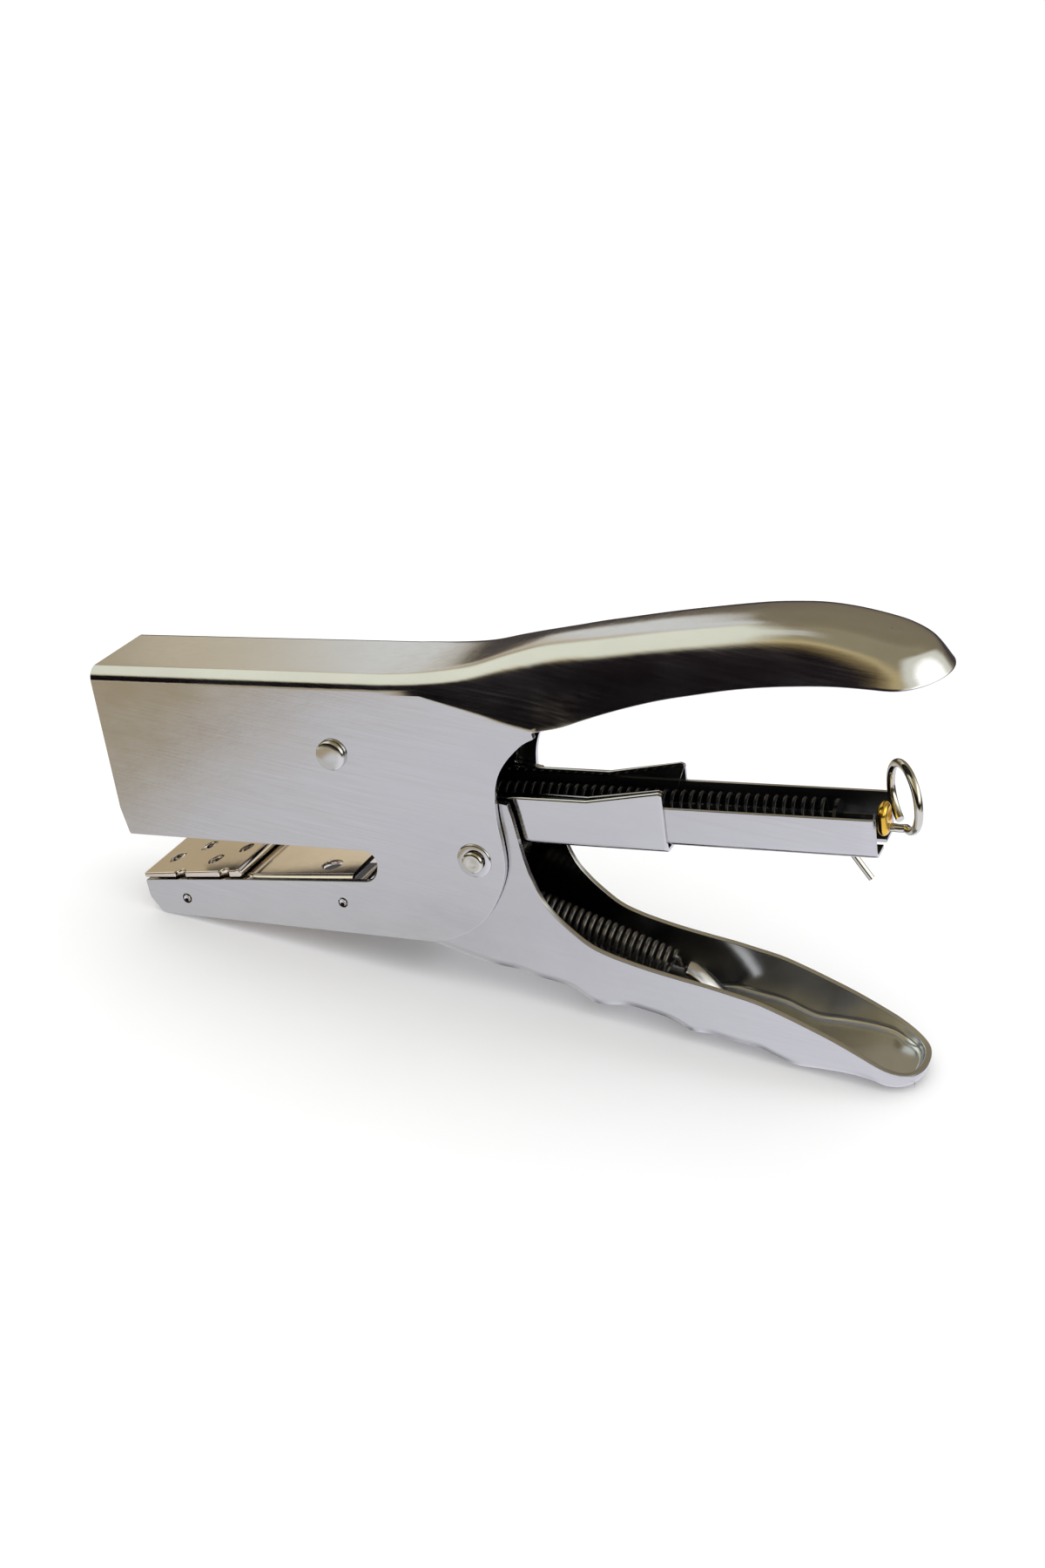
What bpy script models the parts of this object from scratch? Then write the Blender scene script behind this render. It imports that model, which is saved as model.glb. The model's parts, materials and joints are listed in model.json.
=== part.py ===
"""Plier stapler for small number-ten staples, all sheet steel.

Sizes below are in millimetres in the head's own frame: the pivot rivet is the origin,
+X runs back to the handles, +Y across the tool and +Z up.  The whole tool is then pitched
nose down so that it stands on the jaw's nose and on the end of the lower handle.
"""
import math

import bmesh
import bpy
from mathutils import Matrix, Vector

MM = 0.001
GAP = 0.3                     # clearance between pieces that touch in the real tool

# ---- side plates, head and upper handle (one folded sheet) ----
PLATE_T = 1.2                 # sheet thickness
BODY_HALF = 10.25             # half width over the side plates
HEAD_FRONT = -76.6            # front edge of the head
HEAD_TOP = 35.4               # flat top of the head
HEAD_BOTTOM = 0.3             # lower edge of the head over the throat
TOP_R = 2.6                   # bend radius along the top
FOLD_Z = HEAD_TOP - 3.2       # height at which the plate hands over to the bend
HANDLE_HALF = BODY_HALF + 0.75  # half width over the rolled handle
TIP_X = 87.0                  # end of the upper handle
TIP_ROUND = 10.4              # length of the rounded end in plan
THROAT_END = -21.5            # depth of the throat
NOTCH_X = 14.9                # where the plate's rear edge meets the handle

# ---- lower jaw ----
ANVIL_FRONT = -74.6
ANVIL_REAR = -52.6
ANVIL_Z = -8.5                # top of the anvil at its front edge
ANVIL_T = 1.0
JAW_SLOPE = 0.0787            # rise per length of the anvil and of the jaw's upper edge
CARRIER_REAR = -27.6
CARRIER_T = 1.0
CARRIER_LEG = 5.6
JAW_PIN_R = 0.8
JAW_PIN_A = (-65.4, -13.3)
JAW_PIN_B = (-29.6, -11.2)

# ---- rivets ----
PIVOT_R = 1.7
PIVOT_HEAD_R = PIVOT_R + 0.4
WASHER_OUT_R = PIVOT_R + 1.7
WASHER_T = 0.4
STOP = (-26.0, 20.0)
STOP_R = 1.4
STOP_TUBE_R = STOP_R + 1.0
STOP_HEAD_R = STOP_R + 1.55
STOP_HEAD_H = 1.2

# ---- lower handle ----
LEVER_T = 1.2
LEVER_HALF = BODY_HALF - PLATE_T - GAP
LEVER_R = 2.5                 # bend radius along the bottom
LEVER_WALL_END = 71.0         # where the side walls start to turn round the end
LEVER_END = 79.5
TAB_HALF = 2.3
DRIVE_PIN = (-68.0, 25.0)
DRIVE_PIN_R = 1.3

# ---- magazine ----
MAG_HALF = 5.55               # half width over the channel
MAG_T = 0.7
MAG_Z0 = 4.0
MAG_Z1 = 10.85
MAG_FRONT = -73.2
MAG_REAR = 73.8
SLEEVE_HALF = MAG_HALF + 1.2
SLEEVE_T = 0.8
SLEEVE_Z0 = 2.2
SLEEVE_LIP_Z = 11.95
SLEEVE_FRONT = -30.0
SLEEVE_REAR = 36.5
SLEEVE_FLARE_Z = 14.4
NOSE_X = -75.9
NOSE_T = 0.6
NOSE_Z0 = 3.2
NOSE_TOP = 12.5
NOSE_REAR = -54.0
BLADE_T = 0.7
BLADE_X = -74.8
BLADE_Z0 = 10.3
BLADE_TOP = 28.5
BLADE_HALF = MAG_HALF - 0.95
ROD_Z = 8.2
ROD_R = 1.0
COIL_R = 2.9
COIL_WIRE = 0.4
COIL_PITCH = 3.2
FOLLOWER_LEN = 11.0
PLUG_X = 72.4
PLUG_LEN = 2.4
PLUG_HALF = 2.7
PLUG_Z0 = 5.2
PLUG_Z1 = 12.2
FLANGE_X = 65.6               # flange on the rod that takes the spring
HOOK_PIN = (-3.0, -10.5)
HOOK_PIN_R = 1.0
SPACER_GAP = 0.2              # play on each side of a spacer or washer
TAB_HOOK = (36.1, -25.6)       # hole in the lanced tab that takes the rear hook
RETURN_R = 2.4
RETURN_WIRE = 0.5
RETURN_PITCH = 1.4

# ---- pull ring ----
RING_R = 5.9
RING_LOW = 6.8                # height of the wire where the ring starts
RING_Z = RING_LOW + RING_R
RING_WIRE = 0.8
RING_TURN = -54.0             # the ring's plane is turned this far about the vertical
RING_X = PLUG_X + PLUG_LEN - 0.7 + RING_R * math.cos(math.radians(RING_TURN))
TAIL_WIRE = 0.6


# ------------------------------------------------------------------ scene and materials
for old in list(bpy.data.objects):
    bpy.data.objects.remove(old, do_unlink=True)

PARTS = bpy.data.collections.new("plier_stapler")
CUTTERS = bpy.data.collections.new("cutters")
bpy.context.scene.collection.children.link(PARTS)
bpy.context.scene.collection.children.link(CUTTERS)


def material(name, colour, metallic, rough):
    mat = bpy.data.materials.new(name)
    mat.use_nodes = True
    bsdf = mat.node_tree.nodes["Principled BSDF"]
    bsdf.inputs["Base Color"].default_value = (colour[0], colour[1], colour[2], 1.0)
    bsdf.inputs["Metallic"].default_value = metallic
    bsdf.inputs["Roughness"].default_value = rough
    return mat


def empty(name, at, parent):
    node = bpy.data.objects.new(name, None)
    node.empty_display_size = 0.01
    node.location = Vector(at) * MM
    node.parent = parent
    PARTS.objects.link(node)
    return node


STAND = bpy.data.objects.new("stand", None)
PARTS.objects.link(STAND)
LEVER_AXIS = empty("lever_axis", (0, 0, 0), STAND)
MAG_AXIS = empty("magazine_axis", (0, 0, 0), LEVER_AXIS)
DRIVER_SLIDE = empty("driver_slide", (0, 0, 0), MAG_AXIS)
PULLOUT = empty("pullout_slide", (0, 0, 0), MAG_AXIS)
FOLLOW = empty("follower_slide", (0, 0, 0), PULLOUT)


def add(name, mesh, colour, metallic, rough, parent, smooth=False):
    obj = bpy.data.objects.new(name, mesh)
    obj.parent = parent
    mesh.materials.append(material("mat_" + name, colour, metallic, rough))
    if smooth:
        mesh.shade_smooth()
    PARTS.objects.link(obj)
    return obj


def mesh_from(name, bm):
    bmesh.ops.recalc_face_normals(bm, faces=bm.faces)
    mesh = bpy.data.meshes.new(name)
    bm.to_mesh(mesh)
    bm.free()
    return mesh


# ------------------------------------------------------------------ shape helpers
def lerp(a, b, t):
    return a + (b - a) * t


def smooth(t):
    t = min(max(t, 0.0), 1.0)
    return t * t * (3.0 - 2.0 * t)


def along(points, x):
    """Height at x of a smooth curve through (x, z) points (Catmull-Rom)."""
    if x <= points[0][0]:
        return points[0][1]
    if x >= points[-1][0]:
        return points[-1][1]
    i = 0
    while points[i + 1][0] < x:
        i += 1
    p1 = points[i]
    p2 = points[i + 1]
    p0 = points[i - 1] if i > 0 else p1
    p3 = points[i + 2] if i + 2 < len(points) else p2
    h = p2[0] - p1[0]
    m1 = (p2[1] - p0[1]) / max(p2[0] - p0[0], 1e-9) * h
    m2 = (p3[1] - p1[1]) / max(p3[0] - p1[0], 1e-9) * h
    t = (x - p1[0]) / h
    a = 2 * t ** 3 - 3 * t ** 2 + 1
    b = t ** 3 - 2 * t ** 2 + t
    c = -2 * t ** 3 + 3 * t ** 2
    d = t ** 3 - t ** 2
    return a * p1[1] + b * m1 + c * p2[1] + d * m2


def rounded(corners, steps=5):
    """Closed outline from (x, z, radius) corners, each corner rounded by its radius."""
    out = []
    n = len(corners)
    for i in range(n):
        p = Vector(corners[i][:2])
        r = corners[i][2]
        a = (Vector(corners[i - 1][:2]) - p)
        b = (Vector(corners[(i + 1) % n][:2]) - p)
        if r <= 0:
            out.append((p.x, p.y))
            continue
        half = a.angle(b) / 2.0
        cut = min(r / math.tan(half), 0.49 * a.length, 0.49 * b.length)
        rr = cut * math.tan(half)
        a.normalize()
        b.normalize()
        centre = p + (a + b).normalized() * (rr / math.sin(half))
        s = p + a * cut - centre
        e = p + b * cut - centre
        turn = s.angle_signed(e)
        for k in range(steps + 1):
            v = s.copy()
            v.rotate(Matrix.Rotation(-turn * k / steps, 2))
            out.append((centre.x + v.x, centre.y + v.y))
    return out


def slab_bm(outline, y0, y1):
    """Flat outline in (x, z), given a thickness from y0 to y1."""
    bm = bmesh.new()
    face = bm.faces.new([bm.verts.new((x * MM, y0 * MM, z * MM)) for x, z in outline])
    out = bmesh.ops.extrude_face_region(bm, geom=[face])
    moved = [g for g in out["geom"] if isinstance(g, bmesh.types.BMVert)]
    bmesh.ops.translate(bm, verts=moved, vec=(0, (y1 - y0) * MM, 0))
    return bm


def rod_bm(axis, at, r, length, segments):
    """Cylinder along the X or Z axis, centred on a point."""
    bm = bmesh.new()
    bmesh.ops.create_cone(bm, cap_ends=True, segments=segments, radius1=r * MM,
                          radius2=r * MM, depth=length * MM)
    if axis == 'X':
        bmesh.ops.rotate(bm, verts=bm.verts, matrix=Matrix.Rotation(math.pi / 2, 3, 'Y'))
    bmesh.ops.translate(bm, verts=bm.verts, vec=(at[0] * MM, at[1] * MM, at[2] * MM))
    return bm


def plate(name, outline, y0, y1, colour, metallic, rough, parent):
    """Flat piece: an (x, z) outline given thickness from y0 to y1."""
    bm = bmesh.new()
    verts = [bm.verts.new((x * MM, y0 * MM, z * MM)) for x, z in outline]
    face = bm.faces.new(verts)
    out = bmesh.ops.extrude_face_region(bm, geom=[face])
    moved = [g for g in out["geom"] if isinstance(g, bmesh.types.BMVert)]
    bmesh.ops.translate(bm, verts=moved, vec=(0, (y1 - y0) * MM, 0))
    return add(name, mesh_from(name, bm), colour, metallic, rough, parent)


def bar(name, section, x0, x1, colour, metallic, rough, parent):
    """Straight piece: a (y, z) section run from x0 to x1."""
    bm = bmesh.new()
    verts = [bm.verts.new((x0 * MM, y * MM, z * MM)) for y, z in section]
    face = bm.faces.new(verts)
    out = bmesh.ops.extrude_face_region(bm, geom=[face])
    moved = [g for g in out["geom"] if isinstance(g, bmesh.types.BMVert)]
    bmesh.ops.translate(bm, verts=moved, vec=((x1 - x0) * MM, 0, 0))
    return add(name, mesh_from(name, bm), colour, metallic, rough, parent)


def u_section(half, z0, z1, t, r, steps=3, lip=0.0):
    """Section of a channel open at the top, with rounded lower corners and inward lips."""
    outer = []
    inner = []
    for k in range(steps + 1):
        a = math.pi / 2 * k / steps
        outer.append((half - r + r * math.cos(a), z0 + r - r * math.sin(a)))
        ri = r - t
        inner.append((half - r + ri * math.cos(a), z0 + r - ri * math.sin(a)))
    right = [(half, z1)] + outer
    left = [(-y, z) for y, z in reversed(right)]
    inside = [(-y, z) for y, z in inner]
    inside_left = inside
    top = []
    if lip > 0:
        top = [(-half + lip, z1), (-half + lip, z1 - t)]
    chain = right + left
    back = []
    if lip > 0:
        back = top + [(-half + t, z1 - t)]
    else:
        back = [(-half + t, z1)]
    back += inside_left + [(-y, z) for y, z in reversed(inside_left)]
    if lip > 0:
        back += [(half - t, z1 - t), (half - lip, z1 - t), (half - lip, z1)]
    else:
        back += [(half - t, z1)]
    return chain + back


def lathe(name, profile, at, colour, metallic, rough, parent, steps=32):
    """Round piece about an axis along Y; profile rows are (radius, y), far side first."""
    bm = bmesh.new()
    verts = [bm.verts.new((r * MM, 0, y * MM)) for r, y in profile]
    for a, b in zip(verts, verts[1:]):
        bm.edges.new((a, b))
    mesh = bpy.data.meshes.new(name)
    bm.to_mesh(mesh)
    bm.free()
    obj = add(name, mesh, colour, metallic, rough, parent)
    screw = obj.modifiers.new("turned", 'SCREW')
    screw.axis = 'Z'
    screw.steps = steps
    screw.render_steps = steps
    screw.use_merge_vertices = True
    screw.merge_threshold = 0.00001
    screw.use_smooth_shade = True
    obj.location = Vector((at[0], 0, at[1])) * MM
    obj.rotation_euler = (-math.pi / 2, 0, 0)
    return obj


def tube(name, r_in, r_out, y0, y1, at, colour, metallic, rough, parent, steps=32):
    """Ring or spacer about an axis along Y."""
    c = min(0.12, (r_out - r_in) * 0.25, (y1 - y0) * 0.25)
    rows = [(r_in, y1), (r_out - c, y1), (r_out, y1 - c), (r_out, y0 + c)]
    rows += [(r_out - c, y0), (r_in, y0), (r_in, y1)]
    return lathe(name, rows, at, colour, metallic, rough, parent, steps)


def cylinder_cut(target, name, at, r, y0, y1, verts=32):
    """Round hole along Y."""
    bm = bmesh.new()
    bmesh.ops.create_cone(bm, cap_ends=True, segments=verts, radius1=r * MM,
                          radius2=r * MM, depth=(y1 - y0) * MM)
    bmesh.ops.rotate(bm, verts=bm.verts, matrix=Matrix.Rotation(math.pi / 2, 3, 'X'))
    bmesh.ops.translate(bm, verts=bm.verts,
                        vec=(at[0] * MM, (y0 + y1) / 2 * MM, at[1] * MM))
    return cutter(target, name, bm)


def box_bm(x0, x1, y0, y1, z0, z1):
    bm = bmesh.new()
    bmesh.ops.create_cube(bm, size=1.0)
    bmesh.ops.scale(bm, verts=bm.verts,
                    vec=((x1 - x0) * MM, (y1 - y0) * MM, (z1 - z0) * MM))
    bmesh.ops.translate(bm, verts=bm.verts, vec=((x0 + x1) / 2 * MM,
                                                 (y0 + y1) / 2 * MM,
                                                 (z0 + z1) / 2 * MM))
    return bm


def cutter(target, name, bm, operation='DIFFERENCE'):
    obj = bpy.data.objects.new(name, mesh_from(name, bm))
    obj.parent = target.parent
    obj.display_type = 'WIRE'
    obj.hide_render = True
    CUTTERS.objects.link(obj)
    mod = target.modifiers.new(name, 'BOOLEAN')
    mod.operation = operation
    mod.solver = 'EXACT'
    mod.object = obj
    return obj


def wire(name, points, r, colour, metallic, rough, parent, sides=2, cyclic=False):
    """Round wire along a list of (x, y, z) points."""
    curve = bpy.data.curves.new(name + "_line", 'CURVE')
    curve.dimensions = '3D'
    curve.bevel_depth = r * MM
    curve.bevel_resolution = sides
    curve.use_fill_caps = not cyclic
    spline = curve.splines.new('POLY')
    spline.points.add(len(points) - 1)
    for p, q in zip(spline.points, points):
        p.co = (q[0] * MM, q[1] * MM, q[2] * MM, 1.0)
    spline.use_cyclic_u = cyclic
    holder = bpy.data.objects.new(name + "_line", curve)
    CUTTERS.objects.link(holder)
    mesh = bpy.data.meshes.new_from_object(holder.evaluated_get(
        bpy.context.evaluated_depsgraph_get()))
    bpy.data.objects.remove(holder, do_unlink=True)
    bm = bmesh.new()
    bm.from_mesh(mesh)
    bmesh.ops.remove_doubles(bm, verts=bm.verts, dist=0.000001)
    return add(name, mesh_from(name, bm), colour, metallic, rough, parent, smooth=True)


STEEL = (0.62, 0.62, 0.64)
DARK = (0.06, 0.06, 0.065)

# ------------------------------------------------------------------ body shell
CREASE = [(-6.0, FOLD_Z), (-1.9, 31.0), (1.8, 29.9), (5.5, 28.8), (8.6, 27.7),
          (11.7, 26.8), (NOTCH_X, 26.0)]
FLANK = [(NOTCH_X, 26.0), (20.5, 27.4), (25.1, 29.1), (29.9, 30.7), (34.6, 32.1),
         (40.1, 33.5), (45.9, 34.6), (51.6, 35.6), (57.2, 36.3), (62.7, 36.7),
         (69.4, 36.9), (76.0, 36.6), (81.0, 36.2), (TIP_X, 36.4)]
CROWN_RISE = [(-14.0, 0.0), (-6.0, 0.4), (1.8, 1.4), (9.0, 3.3), (15.7, 4.9), (22.2, 6.0),
              (28.6, 6.9), (36.9, 8.1), (43.2, 8.9), (54.6, 10.1), (60.3, 10.3), (64.8, 10.2),
              (69.2, 9.6), (73.6, 8.6), (78.0, 7.3), (81.2, 6.5), (84.4, 6.1), (TIP_X, 5.8)]
CROWN = [(x, HEAD_TOP + rise) for x, rise in CROWN_RISE]
# One side of the handle's section: (share of its depth inward, share of its height up).
SECTION_DEPTH = 10.4
SECTION = [(0.0, 0.0), (0.06, 0.2), (0.12, 0.4), (0.185, 0.6), (0.27, 0.79), (0.36, 0.90),
           (0.49, 0.955), (0.65, 0.985), (0.82, 1.0)]


def fold_line(x):
    return FOLD_Z if x <= CREASE[0][0] else along(CREASE, x)


def body_row(x, w, nx, ny):
    """One section of the top, from the near flank's lower edge to the middle."""
    t = smooth((x + 14.0) / 36.0)
    zt = along(CROWN, x)
    z0 = fold_line(x) if x <= NOTCH_X else along(FLANK, x)
    straight = zt - TOP_R
    head = [(0.0, z0), (0.0, lerp(z0, straight, 0.33)), (0.0, lerp(z0, straight, 0.66))]
    for k in range(6):
        a = math.pi / 2 * k / 5
        head.append((TOP_R - TOP_R * math.cos(a), straight + TOP_R * math.sin(a)))
    curl = smooth((x - NOTCH_X) / 12.0)
    foot = (HANDLE_HALF - BODY_HALF) * (1.0 - curl)
    row = []
    for k in range(9):
        share_in, share_up = SECTION[k]
        a_in = head[k][0] + HANDLE_HALF - BODY_HALF
        inward = lerp(a_in, foot + SECTION_DEPTH * share_in, t)
        if k == 0 and x <= NOTCH_X:
            inward = HANDLE_HALF - BODY_HALF
        px = x - nx * inward
        z = lerp(head[k][1], z0 + (along(CROWN, px) - z0) * share_up, t)
        row.append((px, -(w - ny * inward), z))
    lx, ly, lz = row[-1]
    for f in (0.66, 0.33, 0.0):
        row.append((lx, ly * f, lz + 0.1 * t * (1.0 - f)))
    return row


def body_stations():
    rows = []
    xs = [HEAD_FRONT, -60.0, -40.0, -24.0, -14.0, -10.0, -6.0, -3.0, 0.0, 3.0, 6.0, 9.0,
          12.0, NOTCH_X]
    x = NOTCH_X + 2.3
    while x < TIP_X - TIP_ROUND - 1.0:
        xs.append(x)
        x += 4.0
    for x in xs:
        rows.append(body_row(x, HANDLE_HALF, 0.0, 1.0))
    for k in range(10):
        a = math.pi / 2 * k / 9
        x = TIP_X - TIP_ROUND + TIP_ROUND * math.sin(a)
        w = HANDLE_HALF * math.cos(a)
        n = Vector((math.sin(a) / TIP_ROUND, math.cos(a) / HANDLE_HALF)).normalized()
        rows.append(body_row(x, w, n.x, n.y))
    return rows, len(xs)


def build_body():
    rows, straight = body_stations()
    bm = bmesh.new()
    for side in (1.0, -1.0):
        grid = [[bm.verts.new((x * MM, y * side * MM, z * MM)) for x, y, z in row]
                for row in rows]
        for a, b in zip(grid, grid[1:]):
            for k in range(len(a) - 1):
                bm.faces.new((a[k], a[k + 1], b[k + 1], b[k]))
        fold = [g[0] for g, r in zip(grid, rows) if r[0][0] <= NOTCH_X + 0.001]
        lower = jaw_outline()
        rest = [bm.verts.new((x * MM, -BODY_HALF * side * MM, z * MM)) for x, z in lower]
        bm.faces.new(fold + rest)
    bmesh.ops.remove_doubles(bm, verts=bm.verts, dist=0.000002)
    bmesh.ops.recalc_face_normals(bm, faces=bm.faces)
    mesh = bpy.data.meshes.new("body_shell")
    bm.to_mesh(mesh)
    bm.free()
    obj = add("body_shell", mesh, STEEL, 1.0, 0.3, STAND)
    return sheet(obj, PLATE_T)


def sheet(obj, thickness):
    """Give an open surface its sheet thickness on its inner side."""
    up = max(obj.data.polygons, key=lambda p: p.area)
    outward = up.normal.y * up.center.y > 0
    solid = obj.modifiers.new("sheet", 'SOLIDIFY')
    solid.thickness = thickness * MM
    solid.offset = -1.0 if outward else 1.0
    solid.use_even_offset = True
    solid.use_rim = True
    return obj


def jaw_edge(x):
    """Upper edge of the lower jaw, under the anvil."""
    return ANVIL_Z - ANVIL_T - GAP + JAW_SLOPE * (x - ANVIL_FRONT)


def jaw_outline():
    """Rest of the side plate's edge, from the handle notch round to the head's front."""
    rear = [(15.2, 24.9), (12.9, 23.7), (10.6, 21.7), (8.7, 19.6), (7.2, 17.2),
            (6.2, 14.2), (5.8, 10.9), (5.8, 7.5), (6.1, 3.7), (6.1, -0.4), (5.3, -3.9),
            (3.3, -8.1), (0.7, -11.9), (-2.5, -14.6), (-6.3, -16.6), (-10.7, -18.1)]
    knee = ANVIL_REAR + 1.0
    jaw = rounded([(-71.8, -17.1, 1.6), (-74.2, -13.6, 2.0),
                   (ANVIL_FRONT + 0.2, jaw_edge(ANVIL_FRONT), 0.5),
                   (knee, jaw_edge(knee), 0.0),
                   (THROAT_END, -6.1, 3.1), (THROAT_END + 1.6, HEAD_BOTTOM, 2.6),
                   (-75.6, HEAD_BOTTOM, 0.5), (HEAD_FRONT, 6.0, 2.0),
                   (HEAD_FRONT, FOLD_Z - 1.0, 0.0), (-10.7, -18.1, 0.0)], 5)
    jaw = jaw[:-1]
    return rear + jaw


body = build_body()
for nm, at, r in (("hole_pivot", (0, 0), PIVOT_R + GAP), ("hole_stop", STOP, STOP_R + GAP),
                  ("hole_pin_a", JAW_PIN_A, JAW_PIN_R + 0.2),
                  ("hole_pin_b", JAW_PIN_B, JAW_PIN_R + 0.2)):
    cylinder_cut(body, nm, at, r, -14.0, 14.0)

# ------------------------------------------------------------------ anvil and its carrier
ANVIL_LIP = 1.3               # length of the turned-up rear edge
ANVIL_LIFT = 0.9              # and its height
CLINCH = ((-70.8, -3.2), (-66.2, 1.8), (-60.6, -4.6), (-56.2, 0.2))


def anvil_z(x):
    return ANVIL_Z + JAW_SLOPE * (x - ANVIL_FRONT)


rear_low = anvil_z(ANVIL_REAR) - ANVIL_T
section = [(ANVIL_FRONT, anvil_z(ANVIL_FRONT)), (ANVIL_FRONT, anvil_z(ANVIL_FRONT) - ANVIL_T),
           (ANVIL_REAR, rear_low), (ANVIL_REAR + ANVIL_LIP, rear_low + ANVIL_LIFT),
           (ANVIL_REAR + ANVIL_LIP - 0.5, rear_low + ANVIL_T + ANVIL_LIFT),
           (ANVIL_REAR - 0.4, anvil_z(ANVIL_REAR - 0.4))]
anvil = plate("anvil_plate", section, -BODY_HALF + 0.2, BODY_HALF - 0.2, STEEL, 1.0, 0.25, STAND)
for i, (px, py) in enumerate(CLINCH):
    bm = bmesh.new()
    bmesh.ops.create_uvsphere(bm, u_segments=16, v_segments=8, radius=1.0)
    bmesh.ops.scale(bm, verts=bm.verts, vec=(0.9 * MM, 1.9 * MM, 0.6 * MM))
    bmesh.ops.translate(bm, verts=bm.verts, vec=(px * MM, py * MM, (anvil_z(px) + 0.05) * MM))
    cutter(anvil, "clinch_%d" % i, bm)

carrier_half = BODY_HALF - PLATE_T - GAP
c_top = -ANVIL_T - GAP
outer = [(carrier_half, c_top - CARRIER_LEG), (carrier_half, c_top - 1.4),
         (carrier_half - 0.4, c_top - 0.4), (carrier_half - 1.4, c_top)]
inner = [(carrier_half - 1.4, c_top - CARRIER_T), (carrier_half - CARRIER_T, c_top - 1.5),
         (carrier_half - CARRIER_T, c_top - CARRIER_LEG)]
ring = outer + [(-y, z) for y, z in reversed(outer)] + [(-y, z) for y, z in reversed(inner)]
ring = ring + inner
carrier = bar("anvil_carrier", ring, 0.6, CARRIER_REAR - ANVIL_FRONT, STEEL, 1.0, 0.4, STAND)
carrier.location = Vector((ANVIL_FRONT, 0, ANVIL_Z)) * MM
carrier.rotation_euler = (0, -math.atan(JAW_SLOPE), 0)
for nm, at in (("carrier_pin_a", JAW_PIN_A), ("carrier_pin_b", JAW_PIN_B)):
    cylinder_cut(carrier, nm, at, JAW_PIN_R + 0.2, -14.0, 14.0, 20)
CARRIER_HOLE = (-34.4, -4.0, -7.0)
cutter(carrier, "carrier_hole", rod_bm('Z', CARRIER_HOLE, 2.1, 6.0, 28))

for nm, at in (("jaw_pin_front", JAW_PIN_A), ("jaw_pin_rear", JAW_PIN_B)):
    e = BODY_HALF + 0.1
    lathe(nm, [(0, e), (JAW_PIN_R - 0.15, e), (JAW_PIN_R, e - 0.15), (JAW_PIN_R, 0.15 - e),
               (JAW_PIN_R - 0.15, -e), (0, -e)], at, STEEL, 1.0, 0.35, STAND, 20)

# ------------------------------------------------------------------ rivets and spacers
e = BODY_HALF + WASHER_T + GAP
cap = 0.45
lathe("pivot_rivet",
      [(0, e + 0.2 + cap), (PIVOT_HEAD_R - 0.4, e + 0.2 + cap),
       (PIVOT_HEAD_R, e + cap - 0.1), (PIVOT_HEAD_R, e + 0.15), (PIVOT_R, e + 0.15),
       (PIVOT_R, -e - 0.15), (PIVOT_HEAD_R, -e - 0.15), (PIVOT_HEAD_R, 0.1 - e - cap),
       (PIVOT_HEAD_R - 0.4, -e - 0.2 - cap), (0, -e - 0.2 - cap)],
      (0, 0), STEEL, 1.0, 0.3, STAND)
for nm, s in (("outer_washer_near", -1), ("outer_washer_far", 1)):
    lo, hi = sorted((s * (BODY_HALF + 0.15), s * (BODY_HALF + 0.15 + WASHER_T)))
    tube(nm, PIVOT_R + 0.15, WASHER_OUT_R, lo, hi, (0, 0), STEEL, 1.0, 0.3, STAND)

eh = BODY_HALF + 0.2
dome = []
for k in range(6):
    a = math.pi / 2 * k / 5
    dome.append((STOP_HEAD_R * math.sin(a), eh + STOP_HEAD_H * (0.25 + 0.75 * math.cos(a))))
dome.append((STOP_HEAD_R, eh))
lathe("stop_pin", dome + [(STOP_R, eh), (STOP_R, -eh)] +
      [(r, -y) for r, y in reversed(dome)], STOP, STEEL, 1.0, 0.28, STAND)
spacer = BODY_HALF - PLATE_T - SPACER_GAP
tube("stop_sleeve", STOP_R + 0.25, STOP_TUBE_R, -spacer, spacer, STOP, STEEL, 1.0, 0.4, STAND)

# ------------------------------------------------------------------ lower handle
RIM = [(9.8, -2.8), (11.6, -8.0), (13.8, -11.2), (16.7, -14.2), (20.0, -16.9),
       (23.7, -18.6), (27.4, -19.8), (31.8, -21.0), (37.5, -22.3), (41.8, -23.2),
       (46.1, -24.3), (50.9, -25.6), (56.0, -27.7), (60.1, -29.6), (64.2, -31.6),
       (68.5, -34.0), (LEVER_WALL_END, -35.5), (74.3, -37.4), (77.1, -38.7),
       (LEVER_END, -39.3)]
FLOOR = [(-14.0, -19.6), (-10.0, -20.8), (-6.0, -22.1), (0.0, -23.7), (4.5, -24.3),
         (8.8, -25.6), (12.4, -26.3), (15.3, -27.2), (17.3, -28.5), (19.2, -29.8),
         (21.6, -30.1), (25.9, -29.8), (30.7, -30.8), (33.6, -31.6), (35.9, -32.7),
         (38.0, -33.9), (41.2, -34.0), (45.9, -35.0), (51.0, -36.1), (54.0, -37.5),
         (57.2, -38.7), (62.0, -38.9), (67.0, -39.3), (70.8, -40.1), (73.7, -41.2),
         (76.4, -41.8), (LEVER_END, -42.0)]


def lever_row(x, w, nx, ny):
    zb = along(FLOOR, x)
    row = []
    for k in range(5):
        a = math.pi / 2 * k / 4
        inward = LEVER_R - LEVER_R * math.cos(a)
        row.append((x - nx * inward, -(w - ny * inward), zb + LEVER_R - LEVER_R * math.sin(a)))
    lx, ly, lz = row[-1]
    for f in (0.5, 0.0):
        row.append((lx, ly * f, zb))
    return row


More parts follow.
